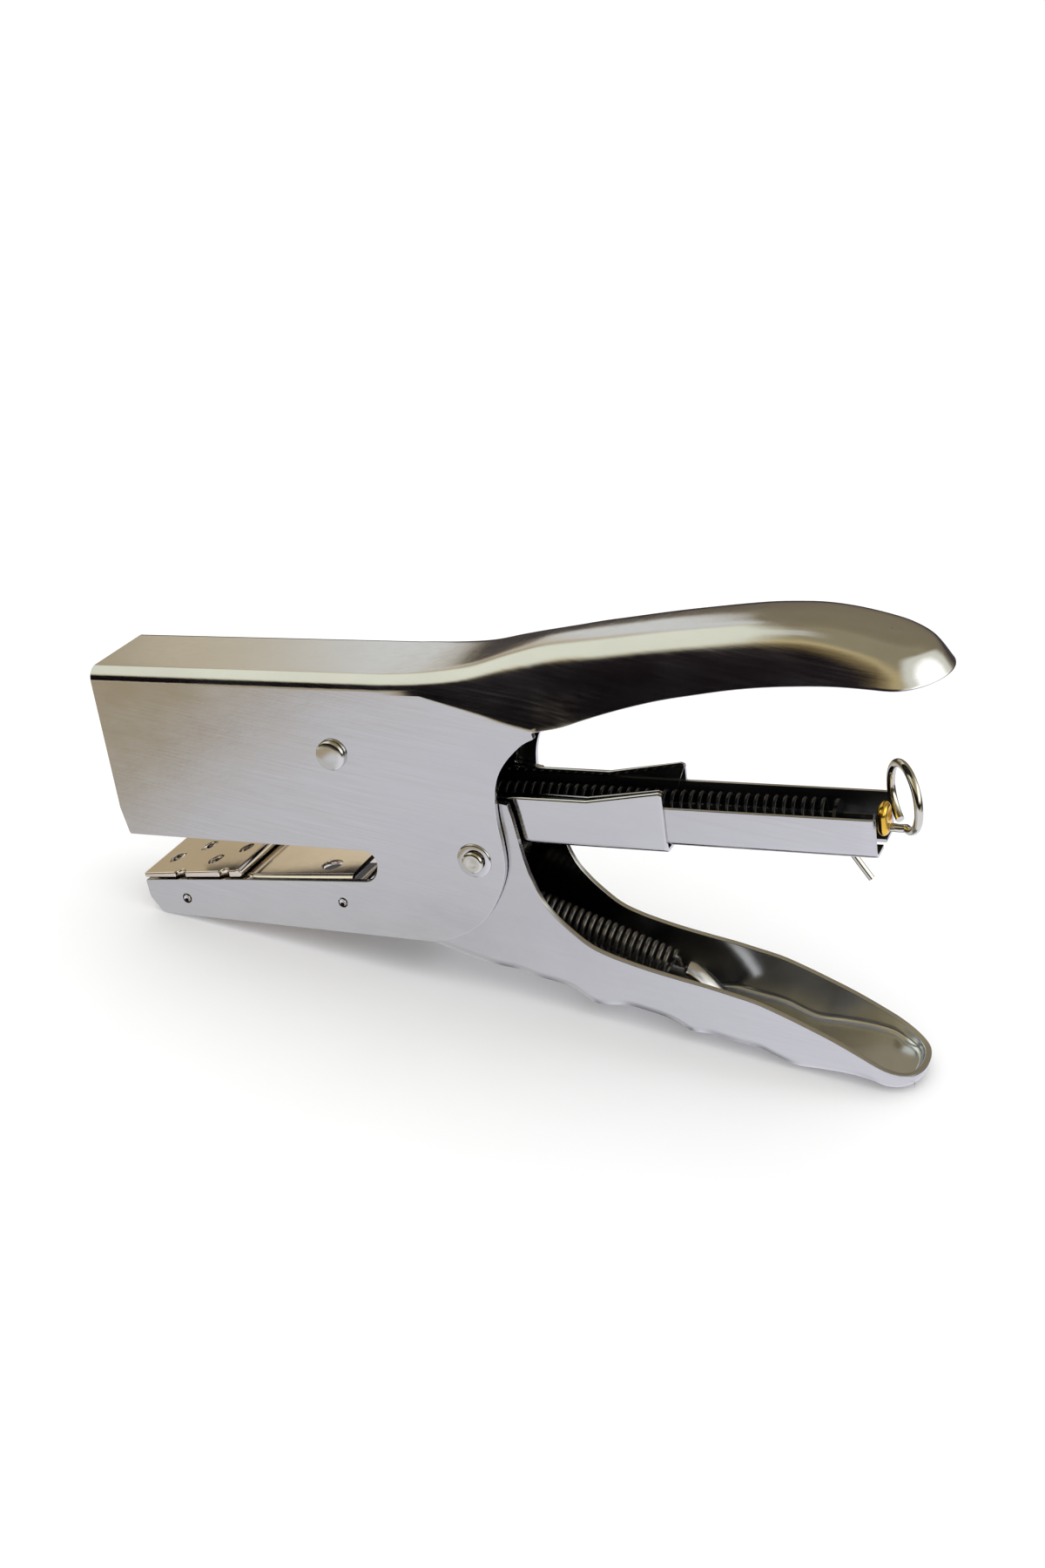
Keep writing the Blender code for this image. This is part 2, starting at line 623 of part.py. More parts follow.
def build_lever():
    xs = [p[0] for p in FLOOR if p[0] < LEVER_WALL_END - 0.5]
    xs += [28.3, 43.5, 48.5, 59.6, 64.5]
    xs = sorted(xs) + [LEVER_WALL_END]
    rows = [lever_row(x, LEVER_HALF, 0.0, 1.0) for x in xs]
    ends = []
    for k in range(1, 8):
        a = math.pi / 2 * k / 7
        reach = LEVER_END - LEVER_WALL_END
        x = LEVER_WALL_END + reach * math.sin(a)
        w = LEVER_HALF * math.cos(a) ** 0.8 if k < 7 else 0.0
        n = Vector((math.sin(a) / reach, math.cos(a) / LEVER_HALF)).normalized()
        ends.append((x, w, n))
        rows.append(lever_row(x, w, n.x, n.y))
    arm = rounded([(7.9, 17.4, 1.5), (STOP[0] - 4.0, STOP[1] - STOP_TUBE_R - GAP, 6.0),
                   (-62.0, 28.6, 4.0), (-72.2, 29.2, 3.4), (-72.2, 21.4, 3.4),
                   (-60.0, 18.0, 6.0), (-26.0, 3.0, 8.0), (-14.5, -7.0, 6.0)], 4)
    bm = bmesh.new()
    for side in (1.0, -1.0):
        grid = [[bm.verts.new((x * MM, y * side * MM, z * MM)) for x, y, z in row]
                for row in rows]
        for a, b in zip(grid, grid[1:]):
            for k in range(len(a) - 1):
                bm.faces.new((a[k], b[k], b[k + 1], a[k + 1]))
        low = [g[0] for g in grid[:len(xs)]]
        rim_x = [p[0] for p in RIM if p[0] <= LEVER_WALL_END + 0.001]
        edge = [(x, along(RIM, x)) for x in reversed(rim_x)]
        edge += [(8.9, 2.3), (8.3, 6.6), (8.1, 12.5)] + arm
        upper = [bm.verts.new((x * MM, -LEVER_HALF * side * MM, z * MM)) for x, z in edge]
        bm.faces.new(low + upper)
        last = upper[0]
        prev = grid[len(xs) - 1][0]
        for (x, w, n), g in zip(ends, grid[len(xs):]):
            v = bm.verts.new((x * MM, -w * side * MM, along(RIM, x) * MM))
            bm.faces.new((last, prev, g[0], v))
            last = v
            prev = g[0]
    bmesh.ops.remove_doubles(bm, verts=bm.verts, dist=0.000002)
    bmesh.ops.recalc_face_normals(bm, faces=bm.faces)
    mesh = bpy.data.meshes.new("lower_handle")
    bm.to_mesh(mesh)
    bm.free()
    obj = add("lower_handle", mesh, STEEL, 1.0, 0.3, LEVER_AXIS)
    return sheet(obj, LEVER_T)


lever = build_lever()
cylinder_cut(lever, "lever_pivot", (0, 0), PIVOT_R + GAP, -12.0, 12.0)
cylinder_cut(lever, "lever_drive", DRIVE_PIN, DRIVE_PIN_R + 0.2, -12.0, 12.0)
# lanced tab that holds the return spring's rear hook
tab_low = along(FLOOR, 44.5) + 0.4
tab = [(34.9, -24.3), (35.8, -23.9), (37.1, -24.4), (41.7, -28.8), (45.1, tab_low),
       (43.5, tab_low), (40.7, -29.6), (36.5, -25.6)]
cutter(lever, "spring_tab", slab_bm(tab, -TAB_HALF, TAB_HALF), 'UNION')

pe = LEVER_HALF
lathe("driver_pin", [(0, pe), (DRIVE_PIN_R, pe), (DRIVE_PIN_R, -pe), (0, -pe)],
      DRIVE_PIN, STEEL, 1.0, 0.35, LEVER_AXIS, 24)

# ------------------------------------------------------------------ driver
block = rounded([(BLADE_X + BLADE_T + 0.2, 20.0, 0.6), (-64.4, 20.0, 1.2),
                 (-64.4, 30.0, 1.6), (BLADE_X + BLADE_T + 0.2, 30.0, 0.6)], 3)
driver_half = LEVER_HALF - LEVER_T - 0.65
driver = plate("driver_block", block, -driver_half, driver_half, STEEL, 1.0, 0.4, DRIVER_SLIDE)
slot = rounded([(DRIVE_PIN[0] + 1.75, DRIVE_PIN[1] - 1.6, 1.5),
                (DRIVE_PIN[0] + 1.75, DRIVE_PIN[1] + 1.6, 1.5),
                (DRIVE_PIN[0] - 4.1, DRIVE_PIN[1] + 1.6, 1.5),
                (DRIVE_PIN[0] - 4.1, DRIVE_PIN[1] - 1.6, 1.5)], 5)
cutter(driver, "driver_slot", slab_bm(slot, -9.0, 9.0))
blade = add("driver_blade", mesh_from("driver_blade", box_bm(
    BLADE_X, BLADE_X + BLADE_T, -BLADE_HALF, BLADE_HALF, BLADE_Z0, BLADE_TOP)),
    STEEL, 1.0, 0.3, DRIVER_SLIDE)

# ------------------------------------------------------------------ magazine
sleeve = bar("magazine_sleeve",
             u_section(SLEEVE_HALF, SLEEVE_Z0, SLEEVE_LIP_Z, SLEEVE_T, 1.3, lip=1.5),
             SLEEVE_FRONT, SLEEVE_REAR, STEEL, 1.0, 0.3, MAG_AXIS)
ear = rounded([(-8.0, 7.0, 0.0), (-6.0, -2.0, 2.0), (HOOK_PIN[0] - 2.6, HOOK_PIN[1] - 2.4, 2.2),
               (HOOK_PIN[0] + 2.8, HOOK_PIN[1] - 2.4, 2.2), (4.6, -3.4, 3.0), (8.0, 7.0, 0.0)], 5)
flare = [(20.0, 8.0), (SLEEVE_REAR, 8.0), (SLEEVE_REAR, SLEEVE_FLARE_Z - 0.8),
         (SLEEVE_REAR - 0.8, SLEEVE_FLARE_Z), (21.0, SLEEVE_LIP_Z - 0.1),
         (20.0, SLEEVE_LIP_Z - 0.2)]
for side, nm in ((-1, "near"), (1, "far")):
    for shape, label in ((ear, "ear_"), (flare, "flare_")):
        cutter(sleeve, label + nm, slab_bm(shape, side * (SLEEVE_HALF - SLEEVE_T + 0.05),
                                           side * (SLEEVE_HALF - 0.05)), 'UNION')
cylinder_cut(sleeve, "sleeve_pivot", (0, 0), PIVOT_R + GAP, -12.0, 12.0)
cylinder_cut(sleeve, "sleeve_hook", HOOK_PIN, HOOK_PIN_R + 0.2, -12.0, 12.0, 24)

channel = bar("magazine_channel",
              u_section(MAG_HALF, MAG_Z0, MAG_Z1, MAG_T, 1.1), MAG_FRONT, MAG_REAR,
              STEEL, 1.0, 0.28, MAG_AXIS)
cutter(channel, "tail_notch", box_bm(64.5, MAG_REAR + 1.0, -1.4, 1.4, MAG_Z0 - 1.0,
                                     MAG_Z0 + MAG_T + 0.4))

nose = add("nose_guide", mesh_from("nose_guide", box_bm(
    NOSE_X, NOSE_REAR, -MAG_HALF - GAP - NOSE_T, MAG_HALF + GAP + NOSE_T, NOSE_Z0, NOSE_TOP)),
    STEEL, 1.0, 0.3, MAG_AXIS)
cutter(nose, "nose_inside", box_bm(NOSE_X + NOSE_T, NOSE_REAR + 1.0, -MAG_HALF - GAP,
                                   MAG_HALF + GAP, NOSE_Z0 - 1.0, NOSE_TOP + 1.0))
slope = [(NOSE_X + 8.0, NOSE_TOP + 0.5), (NOSE_REAR + 1.0, 9.6),
         (NOSE_REAR + 1.0, NOSE_TOP + 3.0), (NOSE_X + 8.0, NOSE_TOP + 3.0)]
cutter(nose, "nose_slope", slab_bm(slope, -9.0, 9.0))

for nm, s in (("inner_washer_near", -1), ("inner_washer_far", 1)):
    lo, hi = sorted((s * (SLEEVE_HALF + SPACER_GAP), s * (LEVER_HALF - LEVER_T - SPACER_GAP)))
    tube(nm, PIVOT_R + 0.25, 4.0, lo, hi, (0, 0), STEEL, 1.0, 0.4, MAG_AXIS, 24)

hp = SLEEVE_HALF + 0.3
lathe("spring_hook_pin", [(0, hp), (HOOK_PIN_R, hp), (HOOK_PIN_R, -hp), (0, -hp)],
      HOOK_PIN, STEEL, 1.0, 0.35, MAG_AXIS, 20)

# ------------------------------------------------------------------ pull-out pusher
fl = FOLLOWER_LEN
fx0 = MAG_FRONT + 0.4
push_half = MAG_HALF - MAG_T - 0.45
push_low = MAG_Z0 + MAG_T + 0.35
follower = bar("follower", [(push_half, push_low), (push_half, 10.6), (push_half - 0.8, 11.2),
                            (0.8 - push_half, 11.2), (-push_half, 10.6), (-push_half, push_low)],
               fx0, fx0 + fl, STEEL, 1.0, 0.4, FOLLOW)
cutter(follower, "follower_bore", rod_bm('X', (fx0 + fl, 0, ROD_Z), ROD_R + 0.25,
                                         2 * fl + 4.0, 20))


def coil(x0, x1, z, radius, pitch, per_turn=9, phase=0.0):
    turns = (x1 - x0) / pitch
    n = int(round(turns * per_turn))
    return [(x0 + (x1 - x0) * i / n, radius * math.cos(2 * math.pi * turns * i / n + phase),
             z + radius * math.sin(2 * math.pi * turns * i / n + phase)) for i in range(n + 1)]


spring_x0 = fx0 + fl + GAP + COIL_WIRE
spring_x1 = FLANGE_X - GAP - COIL_WIRE
wire("pusher_spring", coil(spring_x0, spring_x1, ROD_Z, COIL_R, COIL_PITCH), COIL_WIRE,
     DARK, 1.0, 0.35, FOLLOW)

rod = wire("guide_rod", [(fx0 + 5.0, 0, ROD_Z), (PLUG_X - 0.3, 0, ROD_Z)], ROD_R, STEEL, 1.0, 0.3,
           PULLOUT, 3)
cutter(rod, "rod_flange", rod_bm('X', (FLANGE_X + 0.3, 0, ROD_Z), 3.2, 0.6, 28), 'UNION')
plug_side = [(PLUG_HALF - 0.8, PLUG_Z0), (PLUG_HALF, PLUG_Z0 + 1.0), (PLUG_HALF, PLUG_Z1 - 1.4),
             (PLUG_HALF - 1.2, PLUG_Z1)]
plug = bar("end_plug", plug_side + [(-y, z) for y, z in reversed(plug_side)],
           PLUG_X, PLUG_X + PLUG_LEN, (0.66, 0.38, 0.05), 1.0, 0.28, PULLOUT)
bev = plug.modifiers.new("soft", 'BEVEL')
bev.width = 0.35 * MM
bev.segments = 2
bev.limit_method = 'ANGLE'

ring_z0 = RING_Z - RING_R
spin = Matrix.Rotation(math.radians(RING_TURN), 3, 'Z')
ring_pts = [(PLUG_X + PLUG_LEN + 0.1, 0.0, ring_z0), (RING_X - 2.0, 0.0, ring_z0),
            (RING_X - 1.0, -0.1, ring_z0)]
for i in range(38):
    a = math.radians(-90.0 + 334.0 * i / 37)
    p = spin @ Vector((RING_R * math.cos(a), 0, RING_R * math.sin(a)))
    ring_pts.append((RING_X + p.x, p.y, RING_Z + p.z))
wire("pull_ring", ring_pts, RING_WIRE, STEEL, 1.0, 0.22, PULLOUT, 2)

tail = [(PLUG_X - 0.1, 0, 6.0), (68.3, 0, 5.9), (67.6, 0, 5.3), (67.3, 0, 4.4),
        (67.4, 0, 3.0), (67.9, 0, 1.5), (68.9, 0, -0.1), (70.0, 0, -1.8), (71.0, 0, -3.3)]
wire("latch_wire", tail, TAIL_WIRE, STEEL, 1.0, 0.25, PULLOUT)

# ------------------------------------------------------------------ return spring
a0 = Vector((HOOK_PIN[0], HOOK_PIN[1]))
a1 = Vector(TAB_HOOK)
line = (a1 - a0).normalized()
across = Vector((-line.y, line.x))
length = (a1 - a0).length
hook_r = HOOK_PIN_R + RETURN_WIRE + 0.15
start = 5.4
stop = length - 4.0
hook = []
for k in range(8):
    a = math.radians(80 + 160 * k / 7)
    hook.append((hook_r * math.cos(a), 0.0, hook_r * math.sin(a)))
hook.append((hook_r + 1.2, 0.0, -RETURN_R))
turns = (stop - start) / RETURN_PITCH
n = int(turns * 9)
body_pts = []
for i in range(n + 1):
    a = -math.pi / 2 + 2 * math.pi * turns * i / n
    body_pts.append((start + (stop - start) * i / n, RETURN_R * math.cos(a), RETURN_R * math.sin(a)))
end_pts = [(length - 3.0, 0.0, RETURN_R * 0.4), (length - 2.4, 0.0, 0.3)]
pts = []
for u, v, s in hook + body_pts + end_pts:
    q = a0 + line * u + across * s
    pts.append((q.x, v, q.y))
wire("return_spring", pts, RETURN_WIRE, DARK, 1.0, 0.35, MAG_AXIS)

# ------------------------------------------------------------------ stand the tool up
deps = bpy.context.evaluated_depsgraph_get()
deps.update()


def corner_points(obj):
    mesh = obj.evaluated_get(deps).to_mesh()
    pts = [(v.co.x, v.co.z) for v in mesh.vertices]
    obj.evaluated_get(deps).to_mesh_clear()
    return pts


jaw_pts = corner_points(body)
lever_pts = corner_points(lever)


def lowest(points, angle):
    s = math.sin(angle)
    c = math.cos(angle)
    return min(x * s + z * c for x, z in points)


lo = 0.0
hi = math.radians(25.0)
for _ in range(60):
    mid = (lo + hi) / 2
    if lowest(lever_pts, mid) < lowest(jaw_pts, mid):
        lo = mid
    else:
        hi = mid
pitch = (lo + hi) / 2
STAND.rotation_euler = (0.0, -pitch, 0.0)
STAND.location = (0.0, 0.0, 0.0)
bpy.context.view_layer.update()
deps = bpy.context.evaluated_depsgraph_get()


def world_points(obj):
    seen = obj.evaluated_get(deps)
    mesh = seen.to_mesh()
    pts = [obj.matrix_world @ v.co for v in mesh.vertices]
    seen.to_mesh_clear()
    return pts


every = [p for obj in PARTS.objects if obj.type == 'MESH' for p in world_points(obj)]
middle = (min(p.x for p in every) + max(p.x for p in every)) / 2.0
STAND.location = (-middle, 0.0, -min(p.z for p in every))
bpy.context.view_layer.update()
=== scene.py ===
import json
import math

import bmesh
import bpy
from mathutils import Matrix, Vector


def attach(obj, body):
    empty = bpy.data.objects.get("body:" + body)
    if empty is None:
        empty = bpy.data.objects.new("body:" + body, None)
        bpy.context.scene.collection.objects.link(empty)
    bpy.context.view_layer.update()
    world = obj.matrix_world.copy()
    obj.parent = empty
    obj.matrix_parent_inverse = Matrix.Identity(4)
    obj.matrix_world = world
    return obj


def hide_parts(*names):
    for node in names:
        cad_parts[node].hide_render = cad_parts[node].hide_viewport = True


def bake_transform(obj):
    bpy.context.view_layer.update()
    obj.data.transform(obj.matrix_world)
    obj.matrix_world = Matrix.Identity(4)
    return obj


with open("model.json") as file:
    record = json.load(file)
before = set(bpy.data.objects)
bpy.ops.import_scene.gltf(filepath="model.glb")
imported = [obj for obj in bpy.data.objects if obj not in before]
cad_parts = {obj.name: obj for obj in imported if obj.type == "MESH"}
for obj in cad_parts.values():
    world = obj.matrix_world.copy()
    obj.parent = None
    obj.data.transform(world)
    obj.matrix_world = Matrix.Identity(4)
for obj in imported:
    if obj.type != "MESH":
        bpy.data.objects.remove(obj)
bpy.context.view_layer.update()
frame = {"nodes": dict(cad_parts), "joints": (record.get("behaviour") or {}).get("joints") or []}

# Sizes are in millimetres in the head's own frame: the pivot is the origin, +X runs back
# to the handles, +Y across the tool and +Z up.  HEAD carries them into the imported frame.
MM = 0.001
WELD = 0.002             # points closer than this are one point, in millimetres
WELD_FINE = 0.0005
joints = {j["name"]: j for j in frame["joints"]}
PIVOT = Vector(joints["lever_hinge"]["pos_m"])
BACK = Vector(joints["pullout_slide"]["axis"]).normalized()
UP = BACK.cross(Vector((0, 1, 0))).normalized()
HEAD = Matrix((
    (BACK.x * MM, 0.0, UP.x * MM, PIVOT.x),
    (BACK.y * MM, MM, UP.y * MM, PIVOT.y),
    (BACK.z * MM, 0.0, UP.z * MM, PIVOT.z),
    (0.0, 0.0, 0.0, 1.0)))

PLATE_T = 1.2
BODY_HALF = 10.25
HEAD_FRONT = -76.6
HEAD_TOP = 35.4
HEAD_BOTTOM = 0.3
TOP_R = 2.6
FOLD_Z = 32.2
HANDLE_HALF = 11.0
TIP_X = 87.0
TIP_ROUND = 10.4
THROAT_END = -21.5
NOTCH_X = 14.9
ANVIL_FRONT = -74.6
ANVIL_REAR = -52.6
ANVIL_Z = -8.5
ANVIL_T = 1.0
JAW_SLOPE = 0.0787
CARRIER_REAR = -27.6
CARRIER_T = 1.0
CARRIER_LEG = 5.6
CARRIER_R = 1.4
CARRIER_HOLE = (-34.4, -4.0, -7.0)
CARRIER_HOLE_R = 2.1
JAW_PIN_R = 0.8
JAW_PIN_A = (-65.4, -13.3)
JAW_PIN_B = (-29.6, -11.2)
PIVOT_R = 1.7
PIVOT_HEAD_R = 2.1
WASHER_OUT_R = 3.4
WASHER_T = 0.4
WASHER_SHOWN = 0.28
SEAT = 0.02
STOP = (-26.0, 20.0)
STOP_R = 1.4
STOP_TUBE_R = 2.4
STOP_HEAD_R = 2.95
STOP_HEAD_H = 1.2
LEVER_T = 1.2
LEVER_HALF = 8.75
LEVER_R = 2.5
LEVER_WALL_END = 71.0
LEVER_END = 79.46
TAB_HALF = 2.3
DRIVE_PIN = (-68.0, 25.0)
DRIVE_PIN_R = 1.3
GAP = 0.3
MAG_HALF = 5.55
MAG_T = 0.7
MAG_Z0 = 4.0
MAG_Z1 = 10.85
MAG_FRONT = -73.2
MAG_REAR = 73.8
SLEEVE_HALF = 6.75
SLEEVE_T = 0.8
SLEEVE_Z0 = 2.2
SLEEVE_LIP_Z = 11.95
SLEEVE_FRONT = -30.0
SLEEVE_REAR = 36.5
LIP_KINK = 22.0
SLEEVE_FLARE_Z = 14.4
ROD_Z = 8.2
COIL_R = 2.9
COIL_WIRE = 0.4
COIL_PITCH = 1.7
PLUG_X = 72.4
PLUG_LEN = 2.4
PLUG_HALF = 2.7
PLUG_Z0 = 5.2
PLUG_Z1 = 12.2
PLUG_BACK = 0.6
PLUG_ROUND = 0.95
FLANGE_X = 65.6
FOLLOWER_LEN = 11.0
HOOK_PIN = (-3.0, -10.5)
HOOK_PIN_R = 1.0
TAB_HOOK = (36.1, -25.6)
RETURN_R = 2.4
RETURN_WIRE = 0.5
RETURN_PITCH = 1.38
RING_Z = 12.7
RING_R = 5.9
RING_WIRE = 0.76
RING_TURN = -54.0
RING_SWEEP = 334.0
RING_STEPS = 75
RING_X = PLUG_X + PLUG_LEN - 0.7 + RING_R * math.cos(math.radians(RING_TURN))
TAIL_WIRE = 0.6


# ------------------------------------------------------------------ materials
class Nodes:
    """Short names for building a material's nodes."""

    def __init__(self, name):
        self.mat = bpy.data.materials.new(name)
        self.mat.use_nodes = True
        self.tree = self.mat.node_tree
        self.bsdf = self.tree.nodes["Principled BSDF"]
        coord = self.tree.nodes.new("ShaderNodeTexCoord")
        self.place = coord.outputs["Object"]

    def link(self, a, b):
        self.tree.links.new(a, b)

    def mapped(self, scale, turn=0.0):
        node = self.tree.nodes.new("ShaderNodeMapping")
        node.inputs["Scale"].default_value = scale
        node.inputs["Rotation"].default_value = (0.0, turn, 0.0)
        self.link(self.place, node.inputs["Vector"])
        return node.outputs["Vector"]

    def noise(self, vector, scale, detail=4.0, rough=0.55):
        node = self.tree.nodes.new("ShaderNodeTexNoise")
        node.inputs["Scale"].default_value = scale
        node.inputs["Detail"].default_value = detail
        node.inputs["Roughness"].default_value = rough
        self.link(vector, node.inputs["Vector"])
        return node.outputs["Fac"]

    def span(self, value, lo, hi, a, b):
        node = self.tree.nodes.new("ShaderNodeMapRange")
        node.inputs["From Min"].default_value = lo
        node.inputs["From Max"].default_value = hi
        node.inputs["To Min"].default_value = a
        node.inputs["To Max"].default_value = b
        self.link(value, node.inputs["Value"])
        return node.outputs["Result"]

    def blend(self, fac, a, b):
        node = self.tree.nodes.new("ShaderNodeMix")
        node.data_type = 'RGBA'
        for key, value in (("A", a), ("B", b)):
            sockets = [i for i in node.inputs if i.name == key and i.type == 'RGBA']
            if isinstance(value, tuple):
                sockets[0].default_value = (value[0], value[1], value[2], 1.0)
            else:
                self.link(value, sockets[0])
        self.link(fac, node.inputs["Factor"])
        return [o for o in node.outputs if o.type == 'RGBA'][0]

    def sums(self, a, b, op='ADD', k=None):
        node = self.tree.nodes.new("ShaderNodeMath")
        node.operation = op
        self.link(a, node.inputs[0])
        if k is None:
            self.link(b, node.inputs[1])
        else:
            node.inputs[1].default_value = k
        return node.outputs["Value"]

    def bump(self, height, strength, distance):
        node = self.tree.nodes.new("ShaderNodeBump")
        node.inputs["Strength"].default_value = strength
        node.inputs["Distance"].default_value = distance
        self.link(height, node.inputs["Height"])
        self.link(node.outputs["Normal"], self.bsdf.inputs["Normal"])


PITCH = math.atan2(BACK.z, BACK.x)
DRAWN = (60.0, 900.0, 2600.0)       # noise scale of the drawing lines, finest across the sheet
SMEAR = 0.06                        # how far the haze spreads the roughness
SCRATCH = 0.00006                   # height of the drawing lines, in metres
SCOOP_DARK = 0.012                  # world X where the painted shade inside the grip is darkest
SCOOP_BRIGHT = 0.080                # world X where the painted shade has gone and it's fully bright


def plated(name, light, dark, rough, grain=1.0):
    """Plated or bare metal: cloudy tint, fine drawn lines along the sheet and hazy patches."""
    n = Nodes(name)
    n.bsdf.inputs["Metallic"].default_value = 1.0
    lines = n.noise(n.mapped(DRAWN, PITCH), 1.0, 3.0, 0.6)
    fine = n.noise(n.mapped((1.0, 1.0, 1.0)), 2600.0, 3.0, 0.6)
    cloud = n.noise(n.mapped((1.0, 1.0, 1.6), PITCH), 55.0, 5.0, 0.6)
    tint = n.blend(n.span(cloud, 0.3, 0.7, 0.0, 1.0), dark, light)
    n.link(tint, n.bsdf.inputs["Base Color"])
    haze = n.span(cloud, 0.35, 0.7, rough - SMEAR * 0.5, rough + SMEAR)
    streak = n.span(lines, 0.3, 0.7, -0.03 * grain, 0.05 * grain)
    n.link(n.sums(haze, streak), n.bsdf.inputs["Roughness"])
    height = n.sums(n.sums(lines, None, 'MULTIPLY', 0.7), n.sums(fine, None, 'MULTIPLY', 0.3))
    height = n.sums(height, n.sums(cloud, None, 'MULTIPLY', 6.0))
    n.bump(height, 0.10 * grain, SCRATCH)
    return n.mat


def oiled(name, colour, rough):
    """Blackened spring wire with a thin film of oil."""
    n = Nodes(name)
    n.bsdf.inputs["Metallic"].default_value = 0.85
    cloud = n.noise(n.mapped((1.0, 1.0, 1.0)), 420.0, 4.0, 0.6)
    tint = n.blend(n.span(cloud, 0.35, 0.7, 0.0, 1.0), colour,
                   (colour[0] * 2.2, colour[1] * 2.1, colour[2] * 2.0))
    n.link(tint, n.bsdf.inputs["Base Color"])
    n.link(n.span(cloud, 0.3, 0.7, rough - 0.06, rough + 0.1), n.bsdf.inputs["Roughness"])
    n.bump(cloud, 0.08, 0.00005)
    return n.mat


def scooped(name):
    """Inside of the lower handle: painted shade, darkest at the pivot, fading to bright plating
    at the open end.
    """
    n = Nodes(name)
    n.bsdf.inputs["Metallic"].default_value = 1.0
    split = n.tree.nodes.new("ShaderNodeSeparateXYZ")
    n.link(n.place, split.inputs[0])
    cloud = n.noise(n.mapped((1.0, 1.0, 1.0), PITCH), 60.0, 5.0, 0.6)
    lines = n.noise(n.mapped(DRAWN, PITCH), 1.0, 3.0, 0.6)
    reach = n.span(split.outputs[0], SCOOP_DARK, SCOOP_BRIGHT, 0.0, 1.0)
    wander = n.span(cloud, 0.3, 0.7, -0.15, 0.15)
    # painted shade: the inside is tinted darker towards the pivot, where shade falls deep in the
    # handle
    tint = n.blend(n.sums(reach, wander), (0.10, 0.10, 0.10), (0.70, 0.72, 0.76))
    n.link(tint, n.bsdf.inputs["Base Color"])
    n.link(n.span(cloud, 0.3, 0.7, 0.16, 0.24), n.bsdf.inputs["Roughness"])
    n.bump(lines, 0.03, SCRATCH)
    return n.mat


NICKEL = plated("nickel_plate", (0.64, 0.635, 0.63), (0.58, 0.575, 0.57), 0.11)
LEVER_STEEL = plated("nickel_lever", (0.62, 0.615, 0.615), (0.56, 0.555, 0.555), 0.17)
BRIGHT = plated("bright_nickel", (0.66, 0.65, 0.62), (0.58, 0.57, 0.545), 0.12, 0.6)
WIRE = plated("wire_nickel", (0.68, 0.66, 0.59), (0.58, 0.56, 0.49), 0.10, 0.5)
CARRIER = plated("tan_bright_steel", (0.86, 0.78, 0.69), (0.72, 0.65, 0.57), 0.12, 0.6)
RAW = plated("raw_steel", (0.52, 0.50, 0.47), (0.40, 0.38, 0.35), 0.34, 1.4)
# inside of the lower handle, with painted shade darkest near the pivot
INNER = scooped("painted_shade_to_bright_plating")
# near-black inner sides: painted shade for the dark insides of the sheets; the higher roughness
# is the duller inner finish
DIM = plated("painted_shade_inner_plating", (0.13, 0.13, 0.13), (0.08, 0.08, 0.08), 0.30, 1.2)
BRASS = plated("bright_brass", (0.93, 0.60, 0.10), (0.80, 0.44, 0.05), 0.18, 0.8)
SPRING = oiled("black_spring", (0.022, 0.022, 0.024), 0.22)
RETURN = oiled("dark_spring", (0.075, 0.072, 0.068), 0.16)


# ------------------------------------------------------------------ shape helpers
def lerp(a, b, t):
    return a + (b - a) * t


def smooth(t):
    t = min(max(t, 0.0), 1.0)
    return t * t * (3.0 - 2.0 * t)


def along(points, x):
    """Height at x of a smooth curve through (x, z) points (Catmull-Rom)."""
    if x <= points[0][0]:
        return points[0][1]
    if x >= points[-1][0]:
        return points[-1][1]
    i = 0
    while points[i + 1][0] < x:
        i += 1
    p1 = points[i]
    p2 = points[i + 1]
    p0 = points[i - 1] if i > 0 else p1
    p3 = points[i + 2] if i + 2 < len(points) else p2
    h = p2[0] - p1[0]
    m1 = (p2[1] - p0[1]) / max(p2[0] - p0[0], 1e-9) * h
    m2 = (p3[1] - p1[1]) / max(p3[0] - p1[0], 1e-9) * h
    t = (x - p1[0]) / h
    a = 2 * t ** 3 - 3 * t ** 2 + 1
    b = t ** 3 - 2 * t ** 2 + t
    c = -2 * t ** 3 + 3 * t ** 2
    d = t ** 3 - t ** 2
    return a * p1[1] + b * m1 + c * p2[1] + d * m2


def curve_through(points, steps):
    """Smooth curve through (x, z) points, with so many steps from each to the next."""
    out = []
    for i in range(len(points) - 1):
        p0 = Vector(points[max(i - 1, 0)])
        p1 = Vector(points[i])
        p2 = Vector(points[i + 1])
        p3 = Vector(points[min(i + 2, len(points) - 1)])
        for k in range(steps):
            t = k / steps
            q = 0.5 * ((2 * p1) + (p2 - p0) * t + (2 * p0 - 5 * p1 + 4 * p2 - p3) * t * t
                       + (3 * p1 - p0 - 3 * p2 + p3) * t ** 3)
            out.append((q.x, q.y))
    return out + [points[-1]]


def rounded(corners, steps=8):
    """Closed outline from (x, z, radius) corners, each corner rounded by its radius."""
    out = []
    n = len(corners)
    for i in range(n):
        p = Vector(corners[i][:2])
        r = corners[i][2]
        a = (Vector(corners[i - 1][:2]) - p)
        b = (Vector(corners[(i + 1) % n][:2]) - p)
        if r <= 0:
            out.append((p.x, p.y))
            continue
        half = a.angle(b) / 2.0
        cut = min(r / math.tan(half), 0.49 * a.length, 0.49 * b.length)
        rr = cut * math.tan(half)
        a.normalize()
        b.normalize()
        centre = p + (a + b).normalized() * (rr / math.sin(half))
        s = p + a * cut - centre
        e = p + b * cut - centre
        turn = s.angle_signed(e)
        for k in range(steps + 1):
            v = s.copy()
            v.rotate(Matrix.Rotation(-turn * k / steps, 2))
            out.append((centre.x + v.x, centre.y + v.y))
    return out


